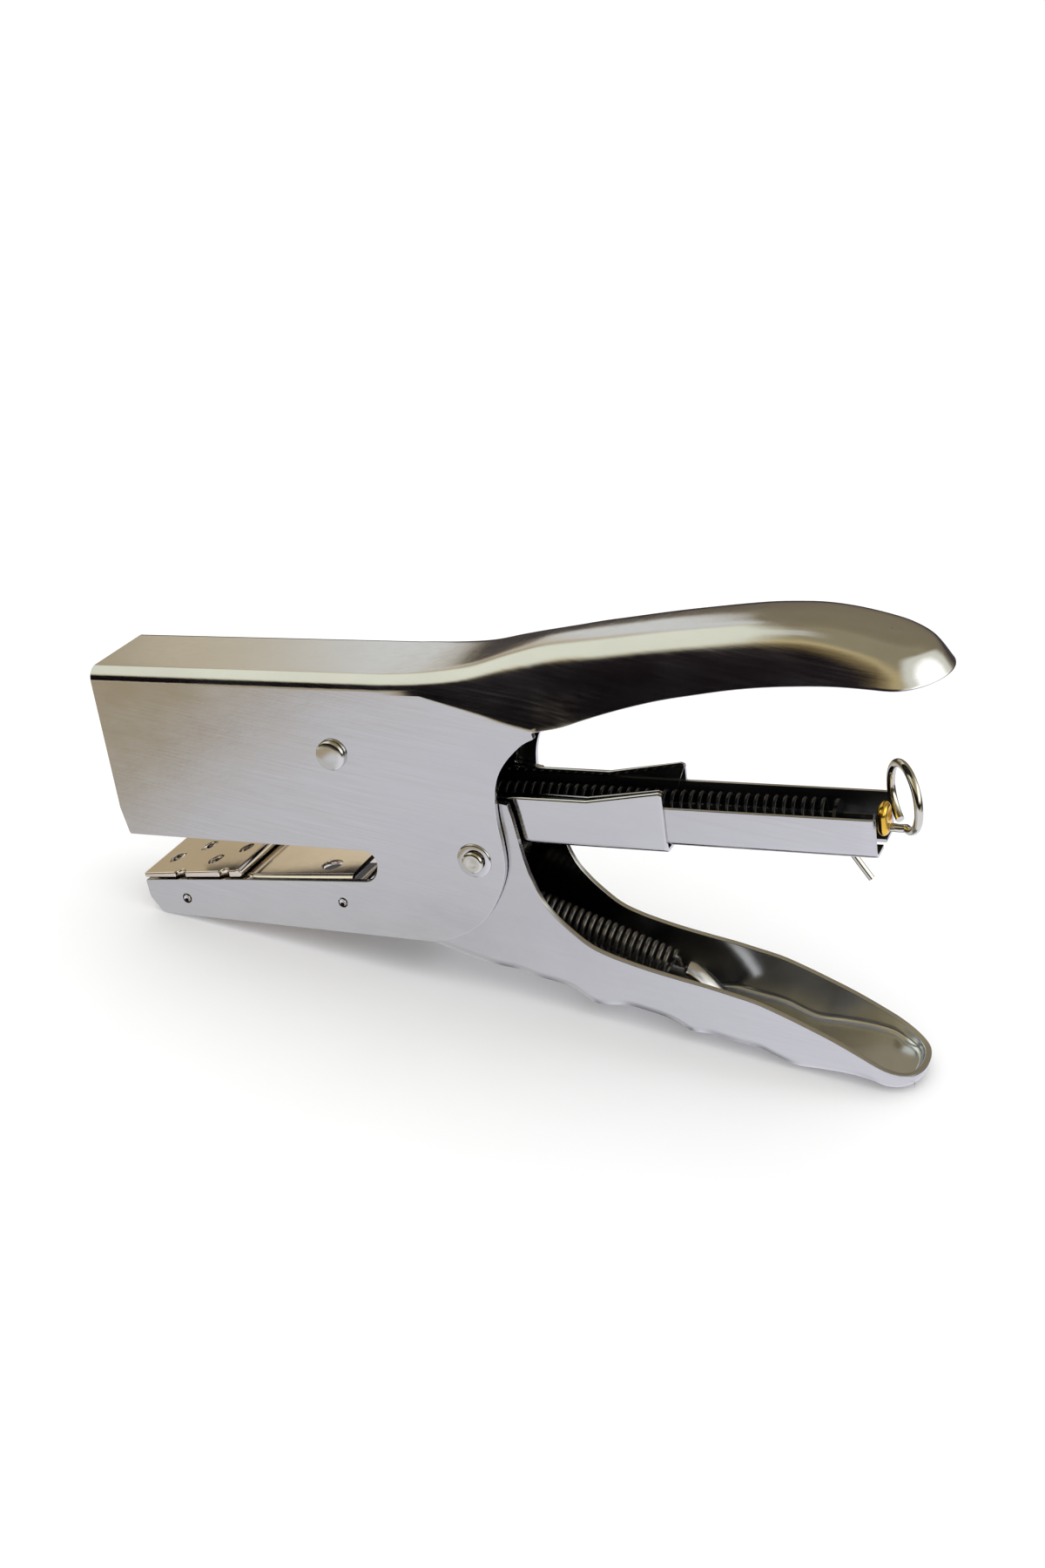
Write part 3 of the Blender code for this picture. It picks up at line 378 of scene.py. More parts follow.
def piece(name, bm, mat, recalc=True):
    """A mesh object from a bmesh drawn in head millimetres."""
    if recalc:
        bmesh.ops.recalc_face_normals(bm, faces=bm.faces)
    mesh = bpy.data.meshes.new(name)
    bm.to_mesh(mesh)
    bm.free()
    obj = bpy.data.objects.new(name, mesh)
    bpy.context.scene.collection.objects.link(obj)
    mesh.materials.append(mat)
    return obj


def slab_bm(outline, y0, y1):
    bm = bmesh.new()
    face = bm.faces.new([bm.verts.new((x, y0, z)) for x, z in outline])
    out = bmesh.ops.extrude_face_region(bm, geom=[face])
    moved = [g for g in out["geom"] if isinstance(g, bmesh.types.BMVert)]
    bmesh.ops.translate(bm, verts=moved, vec=(0, y1 - y0, 0))
    return bm


def mirrored(bm, rows):
    """Vertices of the rows for one side, then for the other."""
    for side in (1.0, -1.0):
        yield side, [[bm.verts.new((x, y * side, z)) for x, y, z in row] for row in rows]


def skin(bm, grid):
    """Faces between each row of vertices and the next."""
    for a, b in zip(grid, grid[1:]):
        for k in range(len(a) - 1):
            bm.faces.new((a[k], b[k], b[k + 1], a[k + 1]))


def drill_bm(at, r, y0, y1, segments=32):
    bm = bmesh.new()
    bmesh.ops.create_cone(bm, cap_ends=True, segments=segments, radius1=r, radius2=r,
                          depth=y1 - y0)
    bmesh.ops.rotate(bm, verts=bm.verts, matrix=Matrix.Rotation(math.pi / 2, 3, 'X'))
    bmesh.ops.translate(bm, verts=bm.verts, vec=(at[0], (y0 + y1) / 2, at[1]))
    return bm


def box_bm(x0, x1, y0, y1, z0, z1):
    bm = bmesh.new()
    bmesh.ops.create_cube(bm, size=1.0)
    bmesh.ops.scale(bm, verts=bm.verts, vec=(x1 - x0, y1 - y0, z1 - z0))
    bmesh.ops.translate(bm, verts=bm.verts,
                        vec=((x0 + x1) / 2, (y0 + y1) / 2, (z0 + z1) / 2))
    return bm


def combine(obj, bm, operation='DIFFERENCE'):
    """Cut a shape out of obj, or join it on, and apply the result at once."""
    tool = piece("tool", bm, NICKEL)
    mod = obj.modifiers.new("cut", 'BOOLEAN')
    mod.operation = operation
    mod.solver = 'EXACT'
    mod.object = tool
    settle(obj)
    bpy.data.objects.remove(tool, do_unlink=True)


def settle(obj):
    """Apply every modifier."""
    deps = bpy.context.evaluated_depsgraph_get()
    mesh = bpy.data.meshes.new_from_object(obj.evaluated_get(deps))
    mats = [m for m in obj.data.materials]
    obj.modifiers.clear()
    old = obj.data
    obj.data = mesh
    bpy.data.meshes.remove(old)
    if not mesh.materials:
        for m in mats:
            mesh.materials.append(m)


def sheet(obj, thickness, inner):
    """Give an open surface its sheet thickness, with a darker material on the inner side that
    paints the shade inside.
    """
    up = max(obj.data.polygons, key=lambda p: p.area)
    outward = up.normal.y * up.center.y > 0
    obj.data.materials.append(inner)
    solid = obj.modifiers.new("sheet", 'SOLIDIFY')
    solid.thickness = thickness
    solid.offset = -1.0 if outward else 1.0
    solid.use_even_offset = True
    solid.material_offset = 1
    settle(obj)


def finish_piece(obj, body, nodes=(), edge=0.12, sharp=32.0, segments=2):
    """Round the edges, shade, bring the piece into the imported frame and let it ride."""
    if edge:
        bev = obj.modifiers.new("edge", 'BEVEL')
        bev.width = edge
        bev.segments = segments
        bev.limit_method = 'ANGLE'
        bev.angle_limit = math.radians(40.0)
        bev.use_clamp_overlap = False
        settle(obj)
    obj.data.transform(HEAD)
    obj.data.shade_smooth()
    obj.data.set_sharp_from_angle(angle=math.radians(sharp))
    weigh = obj.modifiers.new("weigh", 'WEIGHTED_NORMAL')
    weigh.keep_sharp = True
    weigh.weight = 60
    settle(obj)
    if body:
        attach(obj, body)
    if nodes:
        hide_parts(*nodes)
    return obj


def lathe_bm(profile, at, steps=64):
    """Round piece about an axis along Y; profile rows are (radius, y)."""
    bm = bmesh.new()
    verts = [bm.verts.new((r, y, 0)) for r, y in profile]
    edges = [bm.edges.new((a, b)) for a, b in zip(verts, verts[1:])]
    bmesh.ops.spin(bm, geom=verts + edges, cent=(0, 0, 0), axis=(0, 1, 0),
                   angle=math.tau, steps=steps, use_merge=True)
    bmesh.ops.remove_doubles(bm, verts=bm.verts, dist=WELD_FINE)
    bmesh.ops.translate(bm, verts=bm.verts, vec=(at[0], 0, at[1]))
    return bm


def wire_piece(name, points, r, mat, sides=4, cyclic=False):
    """Round wire along (x, y, z) points, as a mesh in head millimetres."""
    curve = bpy.data.curves.new(name + "_line", 'CURVE')
    curve.dimensions = '3D'
    curve.bevel_depth = r
    curve.bevel_resolution = sides
    curve.use_fill_caps = not cyclic
    spline = curve.splines.new('POLY')
    spline.points.add(len(points) - 1)
    for p, q in zip(spline.points, points):
        p.co = (q[0], q[1], q[2], 1.0)
    spline.use_cyclic_u = cyclic
    holder = bpy.data.objects.new(name + "_line", curve)
    bpy.context.scene.collection.objects.link(holder)
    deps = bpy.context.evaluated_depsgraph_get()
    mesh = bpy.data.meshes.new_from_object(holder.evaluated_get(deps))
    bpy.data.objects.remove(holder, do_unlink=True)
    bm = bmesh.new()
    bm.from_mesh(mesh)
    bmesh.ops.remove_doubles(bm, verts=bm.verts, dist=WELD_FINE)
    return piece(name, bm, mat)


# ------------------------------------------------------------------ body shell
CREASE = [(-6.0, 32.2), (-1.9, 31.0), (1.8, 29.9), (5.5, 28.8), (8.6, 27.7),
          (11.7, 26.8), (NOTCH_X, 26.0)]
FLANK = [(NOTCH_X, 26.0), (20.5, 27.4), (25.1, 29.1), (29.9, 30.7), (34.6, 32.1),
         (40.1, 33.5), (45.9, 34.6), (51.6, 35.6), (57.2, 36.3), (62.7, 36.7),
         (69.4, 36.9), (76.0, 36.6), (81.0, 36.2), (TIP_X, 36.4)]
CROWN = [(-14.0, HEAD_TOP), (-6.0, 35.8), (1.8, 36.8), (9.0, 38.7), (15.7, 40.3),
         (22.2, 41.4), (28.6, 42.3), (36.9, 43.5), (43.2, 44.3), (54.6, 45.5),
         (60.3, 45.7), (64.8, 45.6), (69.2, 45.0), (73.6, 44.0), (78.0, 42.7),
         (81.2, 41.9), (84.4, 41.5), (TIP_X, 41.2)]
# One side of the handle's section: (share of its depth inward, share of its height up).
SECTION_DEPTH = 10.4
BLEND_START = -14.0      # the boxy head starts to turn into the round handle here
BLEND_LEN = 36.0
CURL_LEN = 12.0          # the flank's step at the notch runs out over this length
CROWN_LIFT = 0.09        # rise of the middle line over the section's last point
SECTION = [(0.0, 0.0), (0.06, 0.2), (0.12, 0.4), (0.185, 0.59), (0.26, 0.765),
           (0.345, 0.875), (0.46, 0.945), (0.62, 0.985), (0.82, 1.0)]


def fold_line(x):
    return FOLD_Z if x <= CREASE[0][0] else along(CREASE, x)


def body_row(x, w, nx, ny):
    """One section of the top, from the near flank's lower edge to the middle."""
    t = smooth((x - BLEND_START) / BLEND_LEN)
    zt = along(CROWN, x)
    z0 = fold_line(x) if x <= NOTCH_X else along(FLANK, x)
    straight = zt - TOP_R
    curl = smooth((x - NOTCH_X) / CURL_LEN)
    foot = (HANDLE_HALF - BODY_HALF) * (1.0 - curl)
    roll_in = [(i, foot + SECTION_DEPTH * f) for i, (f, g) in enumerate(SECTION)]
    roll_up = [(i, g) for i, (f, g) in enumerate(SECTION)]
    row = []
    fine = 3
    for i in range(8 * fine + 1):
        u = i / fine
        if u <= 3.0:
            head = (0.0, lerp(z0, straight, u / 3.0))
        else:
            a = math.pi / 2 * (u - 3.0) / 5.0
            head = (TOP_R - TOP_R * math.cos(a), straight + TOP_R * math.sin(a))
        inward = lerp(head[0] + HANDLE_HALF - BODY_HALF, along(roll_in, u), t)
        if i == 0 and x <= NOTCH_X:
            inward = HANDLE_HALF - BODY_HALF
        px = x - nx * inward
        z = lerp(head[1], z0 + (along(CROWN, px) - z0) * along(roll_up, u), t)
        row.append((px, -(w - ny * inward), z))
    lx, ly, lz = row[-1]
    for f in (0.8, 0.6, 0.4, 0.2, 0.0):
        row.append((lx, ly * f, lz + CROWN_LIFT * t * math.sin(math.pi / 2 * (1.0 - f))))
    return row


def body_stations():
    rows = []
    xs = [HEAD_FRONT, -70.0, -60.0, -50.0, -40.0, -30.0, -24.0, -18.0, -14.0]
    x = -12.0
    while x < NOTCH_X - 1.0:
        xs.append(x)
        x += 1.5
    xs.append(NOTCH_X)
    x = NOTCH_X + 1.2
    while x < TIP_X - TIP_ROUND - 0.8:
        xs.append(x)
        x += 1.6
    for x in xs:
        rows.append(body_row(x, HANDLE_HALF, 0.0, 1.0))
    turns = 22
    for k in range(turns):
        a = math.pi / 2 * k / (turns - 1)
        x = TIP_X - TIP_ROUND + TIP_ROUND * math.sin(a)
        w = HANDLE_HALF * math.cos(a)
        n = Vector((math.sin(a) / TIP_ROUND, math.cos(a) / HANDLE_HALF)).normalized()
        rows.append(body_row(x, w, n.x, n.y))
    return rows


def jaw_edge(x):
    return ANVIL_Z - ANVIL_T - GAP + JAW_SLOPE * (x - ANVIL_FRONT)


def jaw_outline():
    """The side plate's edge, from the handle notch round to the head's front."""
    rear = [(15.2, 24.9), (12.9, 23.7), (10.6, 21.7), (8.7, 19.6), (7.2, 17.2),
            (6.2, 14.2), (5.8, 10.9), (5.8, 7.5), (6.1, 3.7), (6.1, -0.4), (5.3, -3.9),
            (3.3, -8.1), (0.7, -11.9), (-2.5, -14.6), (-6.3, -16.6), (-10.7, -18.1)]
    knee = ANVIL_REAR + 1.0
    jaw = rounded([(-71.8, -17.1, 1.9), (-74.2, -13.6, 2.0),
                   (ANVIL_FRONT + 0.2, jaw_edge(ANVIL_FRONT), 0.5),
                   (knee, jaw_edge(knee), 0.0),
                   (THROAT_END, -6.1, 3.1), (THROAT_END + 1.6, HEAD_BOTTOM, 2.6),
                   (-75.6, HEAD_BOTTOM, 0.5), (HEAD_FRONT, 6.0, 2.0),
                   (HEAD_FRONT, FOLD_Z - 1.0, 0.0), (-10.7, -18.1, 0.0)], 8)
    return curve_through(rear, 3) + jaw[:-1]


def make_body():
    rows = body_stations()
    bm = bmesh.new()
    for side, grid in mirrored(bm, rows):
        for a, b in zip(grid, grid[1:]):
            for k in range(len(a) - 1):
                bm.faces.new((a[k], a[k + 1], b[k + 1], b[k]))
        fold = [g[0] for g, r in zip(grid, rows) if r[0][0] <= NOTCH_X + 0.001]
        rest = [bm.verts.new((x, -BODY_HALF * side, z)) for x, z in jaw_outline()]
        bm.faces.new(fold + rest)
    bmesh.ops.remove_doubles(bm, verts=bm.verts, dist=WELD)
    obj = piece("shell", bm, NICKEL)
    sheet(obj, PLATE_T, DIM)
    for at, r in (((0, 0), PIVOT_R + GAP), (STOP, STOP_R + GAP),
                  (JAW_PIN_A, JAW_PIN_R + 0.2), (JAW_PIN_B, JAW_PIN_R + 0.2)):
        combine(obj, drill_bm(at, r, -14.0, 14.0, 28))
    return finish_piece(obj, "frame", ["body_shell"], 0.14)


make_body()


# ------------------------------------------------------------------ anvil, carrier, jaw pins
def anvil_z(x):
    return ANVIL_Z + JAW_SLOPE * (x - ANVIL_FRONT)


CLINCH = ((-70.8, -3.2), (-66.2, 1.8), (-60.6, -4.6), (-56.2, 0.2))
CLINCH_SIZE = (1.0, 2.0, 0.75)
CLINCH_TURN = math.radians(-14.0)
CLAWS = (-66.0, -55.6)
CLAW_R = 1.15
CLAW_STRETCH = (1.0, 1.25, 1.0)
BEAD_R = 0.85
BEAD_FROM = -100.0
BEAD_SWEEP = 235.0


def make_anvil():
    """Stamped anvil: clinch pockets, two claws on each edge and a rolled rear edge."""
    half = BODY_HALF - 0.2
    low = anvil_z(ANVIL_REAR) - ANVIL_T
    centre = (ANVIL_REAR + 0.25, anvil_z(ANVIL_REAR) - 0.1)
    outline = [(ANVIL_FRONT, anvil_z(ANVIL_FRONT)),
               (ANVIL_FRONT, anvil_z(ANVIL_FRONT) - ANVIL_T), (ANVIL_REAR - 0.6, low)]
    for k in range(13):
        a = math.radians(BEAD_FROM + BEAD_SWEEP * k / 12)
        outline.append((centre[0] + BEAD_R * math.cos(a), centre[1] + BEAD_R * math.sin(a)))
    obj = piece("anvil", slab_bm(outline, -half, half), CARRIER)
    for px, py in CLINCH:
        bm = bmesh.new()
        bmesh.ops.create_uvsphere(bm, u_segments=24, v_segments=12, radius=1.0)
        bmesh.ops.scale(bm, verts=bm.verts, vec=CLINCH_SIZE)
        bmesh.ops.rotate(bm, verts=bm.verts, matrix=Matrix.Rotation(CLINCH_TURN, 3, 'Z'))
        bmesh.ops.translate(bm, verts=bm.verts, vec=(px, py, anvil_z(px) + 0.1))
        combine(obj, bm)
    for px in CLAWS:
        for side in (-1, 1):
            bm = bmesh.new()
            bmesh.ops.create_cone(bm, cap_ends=True, segments=28, radius1=CLAW_R,
                                  radius2=CLAW_R, depth=6.0)
            bmesh.ops.scale(bm, verts=bm.verts, vec=CLAW_STRETCH)
            bmesh.ops.translate(bm, verts=bm.verts, vec=(px, side * (half + 0.25), anvil_z(px)))
            combine(obj, bm)
    return finish_piece(obj, "frame", ["anvil_plate"], 0.28, segments=4)


make_anvil()


def make_carrier():
    half = BODY_HALF - PLATE_T - GAP
    c_top = -ANVIL_T - GAP
    bm = bmesh.new()

    def bend(r):
        turns = [math.pi / 2 * k / 6 for k in range(7)]
        return [(half - CARRIER_R + r * math.cos(a), c_top - CARRIER_R + r * math.sin(a))
                for a in turns]

    chain = [(half, c_top - CARRIER_LEG)] + bend(CARRIER_R)
    back = [(half - CARRIER_T, c_top - CARRIER_LEG)] + bend(CARRIER_R - CARRIER_T)
    ring = chain + [(-y, z) for y, z in reversed(chain)] + [(-y, z) for y, z in back]
    ring += list(reversed(back))
    verts = [bm.verts.new((0.6, y, z)) for y, z in ring]
    face = bm.faces.new(verts)
    out = bmesh.ops.extrude_face_region(bm, geom=[face])
    moved = [g for g in out["geom"] if isinstance(g, bmesh.types.BMVert)]
    bmesh.ops.translate(bm, verts=moved, vec=(CARRIER_REAR - ANVIL_FRONT - 0.6, 0, 0))
    bmesh.ops.rotate(bm, verts=bm.verts,
                     matrix=Matrix.Rotation(-math.atan(JAW_SLOPE), 3, 'Y'))
    bmesh.ops.translate(bm, verts=bm.verts, vec=(ANVIL_FRONT, 0, ANVIL_Z))
    obj = piece("carrier", bm, CARRIER)
    combine(obj, drill_bm(JAW_PIN_A, JAW_PIN_R + 0.2, -14, 14, 20))
    combine(obj, drill_bm(JAW_PIN_B, JAW_PIN_R + 0.2, -14, 14, 20))
    hole = bmesh.new()
    bmesh.ops.create_cone(hole, cap_ends=True, segments=40, radius1=CARRIER_HOLE_R,
                          radius2=CARRIER_HOLE_R, depth=6.0)
    bmesh.ops.translate(hole, verts=hole.verts, vec=CARRIER_HOLE)
    combine(obj, hole)
    return finish_piece(obj, "frame", ["anvil_carrier"], 0.1)


make_carrier()

for nm, at in (("jaw_pin_front", JAW_PIN_A), ("jaw_pin_rear", JAW_PIN_B)):
    e = BODY_HALF + 0.1
    rows = [(0, e - 0.22), (0.3, e - 0.2), (0.48, e - 0.04), (JAW_PIN_R - 0.12, e),
            (JAW_PIN_R, e - 0.12)]
    pin = piece("rivet_" + nm, lathe_bm(rows + [(r, -y) for r, y in reversed(rows)], at, 36),
                NICKEL)
    finish_piece(pin, "frame", [nm], 0.0, 50.0)


# ------------------------------------------------------------------ rivets and washers
def make_pivot():
    e = BODY_HALF + WASHER_T + GAP
    top = e + 0.2 + 0.45
    cap = [(0, top - 0.08), (0.7, top - 0.06), (1.0, top - 0.02), (PIVOT_HEAD_R - 0.5, top),
           (PIVOT_HEAD_R - 0.2, top - 0.06), (PIVOT_HEAD_R - 0.04, top - 0.24),
           (PIVOT_HEAD_R, top - 0.45), (PIVOT_HEAD_R, e + 0.15), (PIVOT_R, e + 0.15)]
    obj = piece("pivot", lathe_bm(cap + [(r, -y) for r, y in reversed(cap)], (0, 0)), WIRE)
    finish_piece(obj, "frame", ["pivot_rivet"], 0.0, 50.0)
    for nm, s in (("outer_washer_near", -1), ("outer_washer_far", 1)):
        a = BODY_HALF + SEAT
        b = a + WASHER_SHOWN
        rows = [(PIVOT_R + 0.15, a), (PIVOT_R + 0.15, b - 0.06), (PIVOT_R + 0.2, b),
                (WASHER_OUT_R - 0.3, b), (WASHER_OUT_R - 0.1, b - 0.06),
                (WASHER_OUT_R, b - 0.22), (WASHER_OUT_R, a), (PIVOT_R + 0.15, a)]
        ring = piece(nm + "_disc", lathe_bm([(r, s * y) for r, y in rows], (0, 0)), NICKEL)
        finish_piece(ring, "frame", [nm], 0.0, 50.0)


def make_stop():
    base = BODY_HALF + SEAT
    cap = [(0.0, base + STOP_HEAD_H), (0.9, base + STOP_HEAD_H - 0.015),
           (1.7, base + STOP_HEAD_H - 0.07)]
    for k in range(7):
        a = math.radians(12.0 + 78.0 * k / 6)
        cap.append((STOP_HEAD_R - 0.55 + 0.55 * math.sin(a),
                    base + STOP_HEAD_H - 0.70 + 0.55 * math.cos(a)))
    cap.append((STOP_HEAD_R, base + 0.15))
    cap.append((STOP_HEAD_R - 0.12, base))
    cap.append((STOP_R, base))
    obj = piece("stop_rivet", lathe_bm(cap + [(r, -y) for r, y in reversed(cap)], STOP), BRIGHT)
    finish_piece(obj, "frame", ["stop_pin"], 0.0, 50.0)


make_pivot()
make_stop()


# ------------------------------------------------------------------ lower handle
RIM = [(9.8, -2.8), (11.6, -8.0), (13.8, -11.2), (16.7, -14.2), (20.0, -16.9),
       (23.7, -18.6), (27.4, -19.8), (31.8, -21.0), (37.5, -22.3), (41.8, -23.2),
       (46.1, -24.3), (50.9, -25.6), (56.0, -27.7), (60.1, -29.6), (64.2, -31.6),
       (68.5, -34.0), (LEVER_WALL_END, -35.5), (74.3, -37.4), (77.1, -38.7),
       (LEVER_END, -39.3)]
FLOOR = [(-14.0, -19.6), (-10.0, -20.8), (-6.0, -22.1), (0.0, -23.7), (4.5, -24.3),
         (8.8, -25.6), (12.4, -26.3), (15.3, -27.2), (17.3, -28.5), (19.2, -29.8),
         (21.6, -30.1), (25.9, -29.8), (30.7, -30.8), (33.6, -31.6), (35.9, -32.7),
         (38.0, -33.9), (41.2, -34.0), (45.9, -35.0), (51.0, -36.1), (54.0, -37.5),
         (57.2, -38.68), (62.0, -38.88), (67.0, -39.3), (70.8, -40.1), (73.7, -41.2),
         (76.4, -41.77), (LEVER_END, -41.97)]


def lever_row(x, w, nx, ny):
    zb = along(FLOOR, x)
    row = []
    for k in range(11):
        a = math.pi / 2 * k / 10
        inward = LEVER_R - LEVER_R * math.cos(a)
        row.append((x - nx * inward, -(w - ny * inward), zb + LEVER_R - LEVER_R * math.sin(a)))
    lx, ly = row[-1][:2]
    for f in (0.66, 0.33, 0.0):
        row.append((lx, ly * f, zb))
    return row


def add_tab(lever):
    """Lanced tongue that holds the return spring, crowned across its width."""
    foot = along(FLOOR, 44.5) + 0.5
    path = [(34.6, -24.7), (35.1, -24.0), (35.8, -23.7), (36.8, -24.0), (38.4, -25.2),
            (40.2, -27.0), (42.0, -29.2), (43.6, -31.8), (44.8, foot)]
    thick = 0.95
    bm = bmesh.new()
    layers = []
    for depth in (0.0, thick):
        grid = []
        for i, (x, z) in enumerate(path):
            a = Vector(path[max(i - 1, 0)])
            b = Vector(path[min(i + 1, len(path) - 1)])
            n = Vector((a.y - b.y, b.x - a.x)).normalized()
            row = []
            for k in range(9):
                v = -1.0 + k / 4.0
                drop = depth + 0.8 * v * v
                row.append(bm.verts.new((x - n.x * drop, v * TAB_HALF, z - n.y * drop)))
            grid.append(row)
        layers.append(grid)
    top, under = layers
    for a, b in zip(range(len(path) - 1), range(1, len(path))):
        for k in range(8):
            bm.faces.new((top[a][k], top[b][k], top[b][k + 1], top[a][k + 1]))
            bm.faces.new((under[a][k], under[a][k + 1], under[b][k + 1], under[b][k]))
        for k in (0, 8):
            bm.faces.new((top[a][k], under[a][k], under[b][k], top[b][k]))
    for i in (0, -1):
        for k in range(8):
            bm.faces.new((top[i][k], top[i][k + 1], under[i][k + 1], under[i][k]))
    bmesh.ops.recalc_face_normals(bm, faces=bm.faces)
    combine(lever, bm, 'UNION')


def make_lever():
    xs = []
    x = -14.0
    while x < LEVER_WALL_END - 0.4:
        xs.append(x)
        x += 1.1
    xs.append(LEVER_WALL_END)
    rows = [lever_row(x, LEVER_HALF, 0.0, 1.0) for x in xs]
    ends = []
    turns = 16
    reach = LEVER_END - LEVER_WALL_END
    for k in range(1, turns + 1):
        a = math.pi / 2 * k / turns
        x = LEVER_WALL_END + reach * math.sin(a)
        w = LEVER_HALF * math.cos(a) ** 0.8 if k < turns else 0.0
        n = Vector((math.sin(a) / reach, math.cos(a) / LEVER_HALF)).normalized()
        ends.append((x, w, n))
        rows.append(lever_row(x, w, n.x, n.y))
    arm = rounded([(6.4, 16.8, 3.0), (STOP[0] - 4.0, STOP[1] - STOP_TUBE_R - GAP, 6.0),
                   (-62.0, 28.6, 4.0), (-72.2, 29.2, 3.4), (-72.2, 21.4, 3.4),
                   (-60.0, 18.0, 6.0), (-26.0, 3.0, 8.0), (-14.5, -7.0, 6.0)], 8)
    bm = bmesh.new()
    for side, grid in mirrored(bm, rows):
        skin(bm, grid)
        low = [g[0] for g in grid[:len(xs)]]
        edge = []
        x = LEVER_WALL_END
        while x > RIM[0][0]:
            edge.append((x, along(RIM, x)))
            x -= 0.8 if x < 24.0 else 1.6
        edge.append(RIM[0])
        edge += [(9.2, 0.0), (8.8, 2.6), (8.4, 5.5), (8.0, 8.4), (7.5, 11.0)] + arm
        upper = [bm.verts.new((x, -LEVER_HALF * side, z)) for x, z in edge]
        bm.faces.new(low + upper)
        last = upper[0]
        prev = grid[len(xs) - 1][0]
        for (x, w, n), g in zip(ends, grid[len(xs):]):
            v = bm.verts.new((x, -w * side, along(RIM, x)))
            bm.faces.new((last, prev, g[0], v))
            last = v
            prev = g[0]
    bmesh.ops.remove_doubles(bm, verts=bm.verts, dist=WELD)
    obj = piece("lever", bm, LEVER_STEEL)
    sheet(obj, LEVER_T, INNER)
    combine(obj, drill_bm((0, 0), PIVOT_R + GAP, -12, 12))
    combine(obj, drill_bm(DRIVE_PIN, DRIVE_PIN_R + 0.2, -12, 12))
    add_tab(obj)
    return finish_piece(obj, "lever", ["lower_handle"], 0.16)


make_lever()


# ------------------------------------------------------------------ magazine
def make_sleeve():
    """Outer sleeve: low walls with lips that flare up and lean inwards at the rear."""
    bm = bmesh.new()
    r = 1.3
    xs = [SLEEVE_FRONT, 0.0, LIP_KINK - 0.8, LIP_KINK, LIP_KINK + 0.8, 28.0, 32.0,
          SLEEVE_REAR - 0.7, SLEEVE_REAR]
    rows = []
    for x in xs:
        t = min(max((x - LIP_KINK) / (SLEEVE_REAR - LIP_KINK), 0.0), 1.0)
        wall = SLEEVE_LIP_Z - 0.7 + (SLEEVE_FLARE_Z - SLEEVE_LIP_Z) * t
        lean = 1.5 - 0.5 * t
        lift = 0.7
        if x > SLEEVE_REAR - 0.7:
            wall -= 0.35
        row = [(x, 0.0, SLEEVE_Z0), (x, SLEEVE_HALF * 0.5, SLEEVE_Z0)]
        for k in range(7):
            a = math.pi / 2 * k / 6
            row.append((x, SLEEVE_HALF - r + r * math.sin(a),
                        SLEEVE_Z0 + r - r * math.cos(a)))
        row.append((x, SLEEVE_HALF, lerp(SLEEVE_Z0 + r, wall, 0.5)))
        for k in range(6):
            a = math.pi / 2 * k / 5
            row.append((x, SLEEVE_HALF - lean * 0.75 * (1 - math.cos(a)),
                        wall + lift * math.sin(a)))
        row.append((x, SLEEVE_HALF - lean, wall + lift))
        rows.append(row)
    for _, grid in mirrored(bm, rows):
        skin(bm, grid)
    bmesh.ops.remove_doubles(bm, verts=bm.verts, dist=WELD)
    obj = piece("sleeve", bm, NICKEL)
    sheet(obj, SLEEVE_T, DIM)
    ear = rounded([(-8.0, 7.0, 0.0), (-6.0, -2.0, 2.0),
                   (HOOK_PIN[0] - 2.6, HOOK_PIN[1] - 2.4, 2.2),
                   (HOOK_PIN[0] + 2.8, HOOK_PIN[1] - 2.4, 2.2), (4.6, -3.4, 3.0),
                   (8.0, 7.0, 0.0)], 8)
    for s in (-1, 1):
        combine(obj, slab_bm(ear, s * (SLEEVE_HALF - SLEEVE_T + 0.05), s * (SLEEVE_HALF - 0.05)),
                'UNION')
    combine(obj, drill_bm((0, 0), PIVOT_R + GAP, -12, 12))
    combine(obj, drill_bm(HOOK_PIN, HOOK_PIN_R + 0.2, -12, 12, 24))
    return finish_piece(obj, "magazine", ["magazine_sleeve"], 0.12)


make_sleeve()


def make_channel():
    bm = bmesh.new()
    r = 1.1
    xs = [MAG_FRONT, -40.0, 0.0, 30.0, 50.0, 60.0, 66.0, 70.0, 71.5, 72.6, 73.3, MAG_REAR]
    rows = []
    for x in xs:
        curl = max(0.0, x - 72.0) ** 2 * 0.07
        row = [(x, 0.0, MAG_Z0), (x, MAG_HALF * 0.5, MAG_Z0)]
        for k in range(7):
            a = math.pi / 2 * k / 6
            row.append((x, MAG_HALF - r + r * math.sin(a) - curl * k / 6.0,
                        MAG_Z0 + r - r * math.cos(a)))
        for f in (0.35, 0.7, 1.0):
            row.append((x, MAG_HALF - curl, lerp(MAG_Z0 + r, MAG_Z1, f)))
        rows.append(row)
    for _, grid in mirrored(bm, rows):
        skin(bm, grid)
    bmesh.ops.remove_doubles(bm, verts=bm.verts, dist=WELD)
    obj = piece("channel", bm, LEVER_STEEL)
    sheet(obj, MAG_T, DIM)
    combine(obj, box_bm(64.5, MAG_REAR + 1.0, -1.0, 1.0, MAG_Z0 - 1.0, MAG_Z0 + MAG_T + 0.4))
    return finish_piece(obj, "magazine", ["magazine_channel"], 0.1)


make_channel()


# ------------------------------------------------------------------ springs and pull-out
def coil_points(x0, x1, z, radius, pitch, per_turn):
    turns = (x1 - x0) / pitch
    n = int(round(turns * per_turn))
    pts = []
    for i in range(n + 1):
        a = math.tau * turns * i / n
        pts.append((lerp(x0, x1, i / n), radius * math.cos(a), z + radius * math.sin(a)))
    return pts


def head_point(x, y, z):
    return tuple(HEAD @ Vector((x, y, z)))


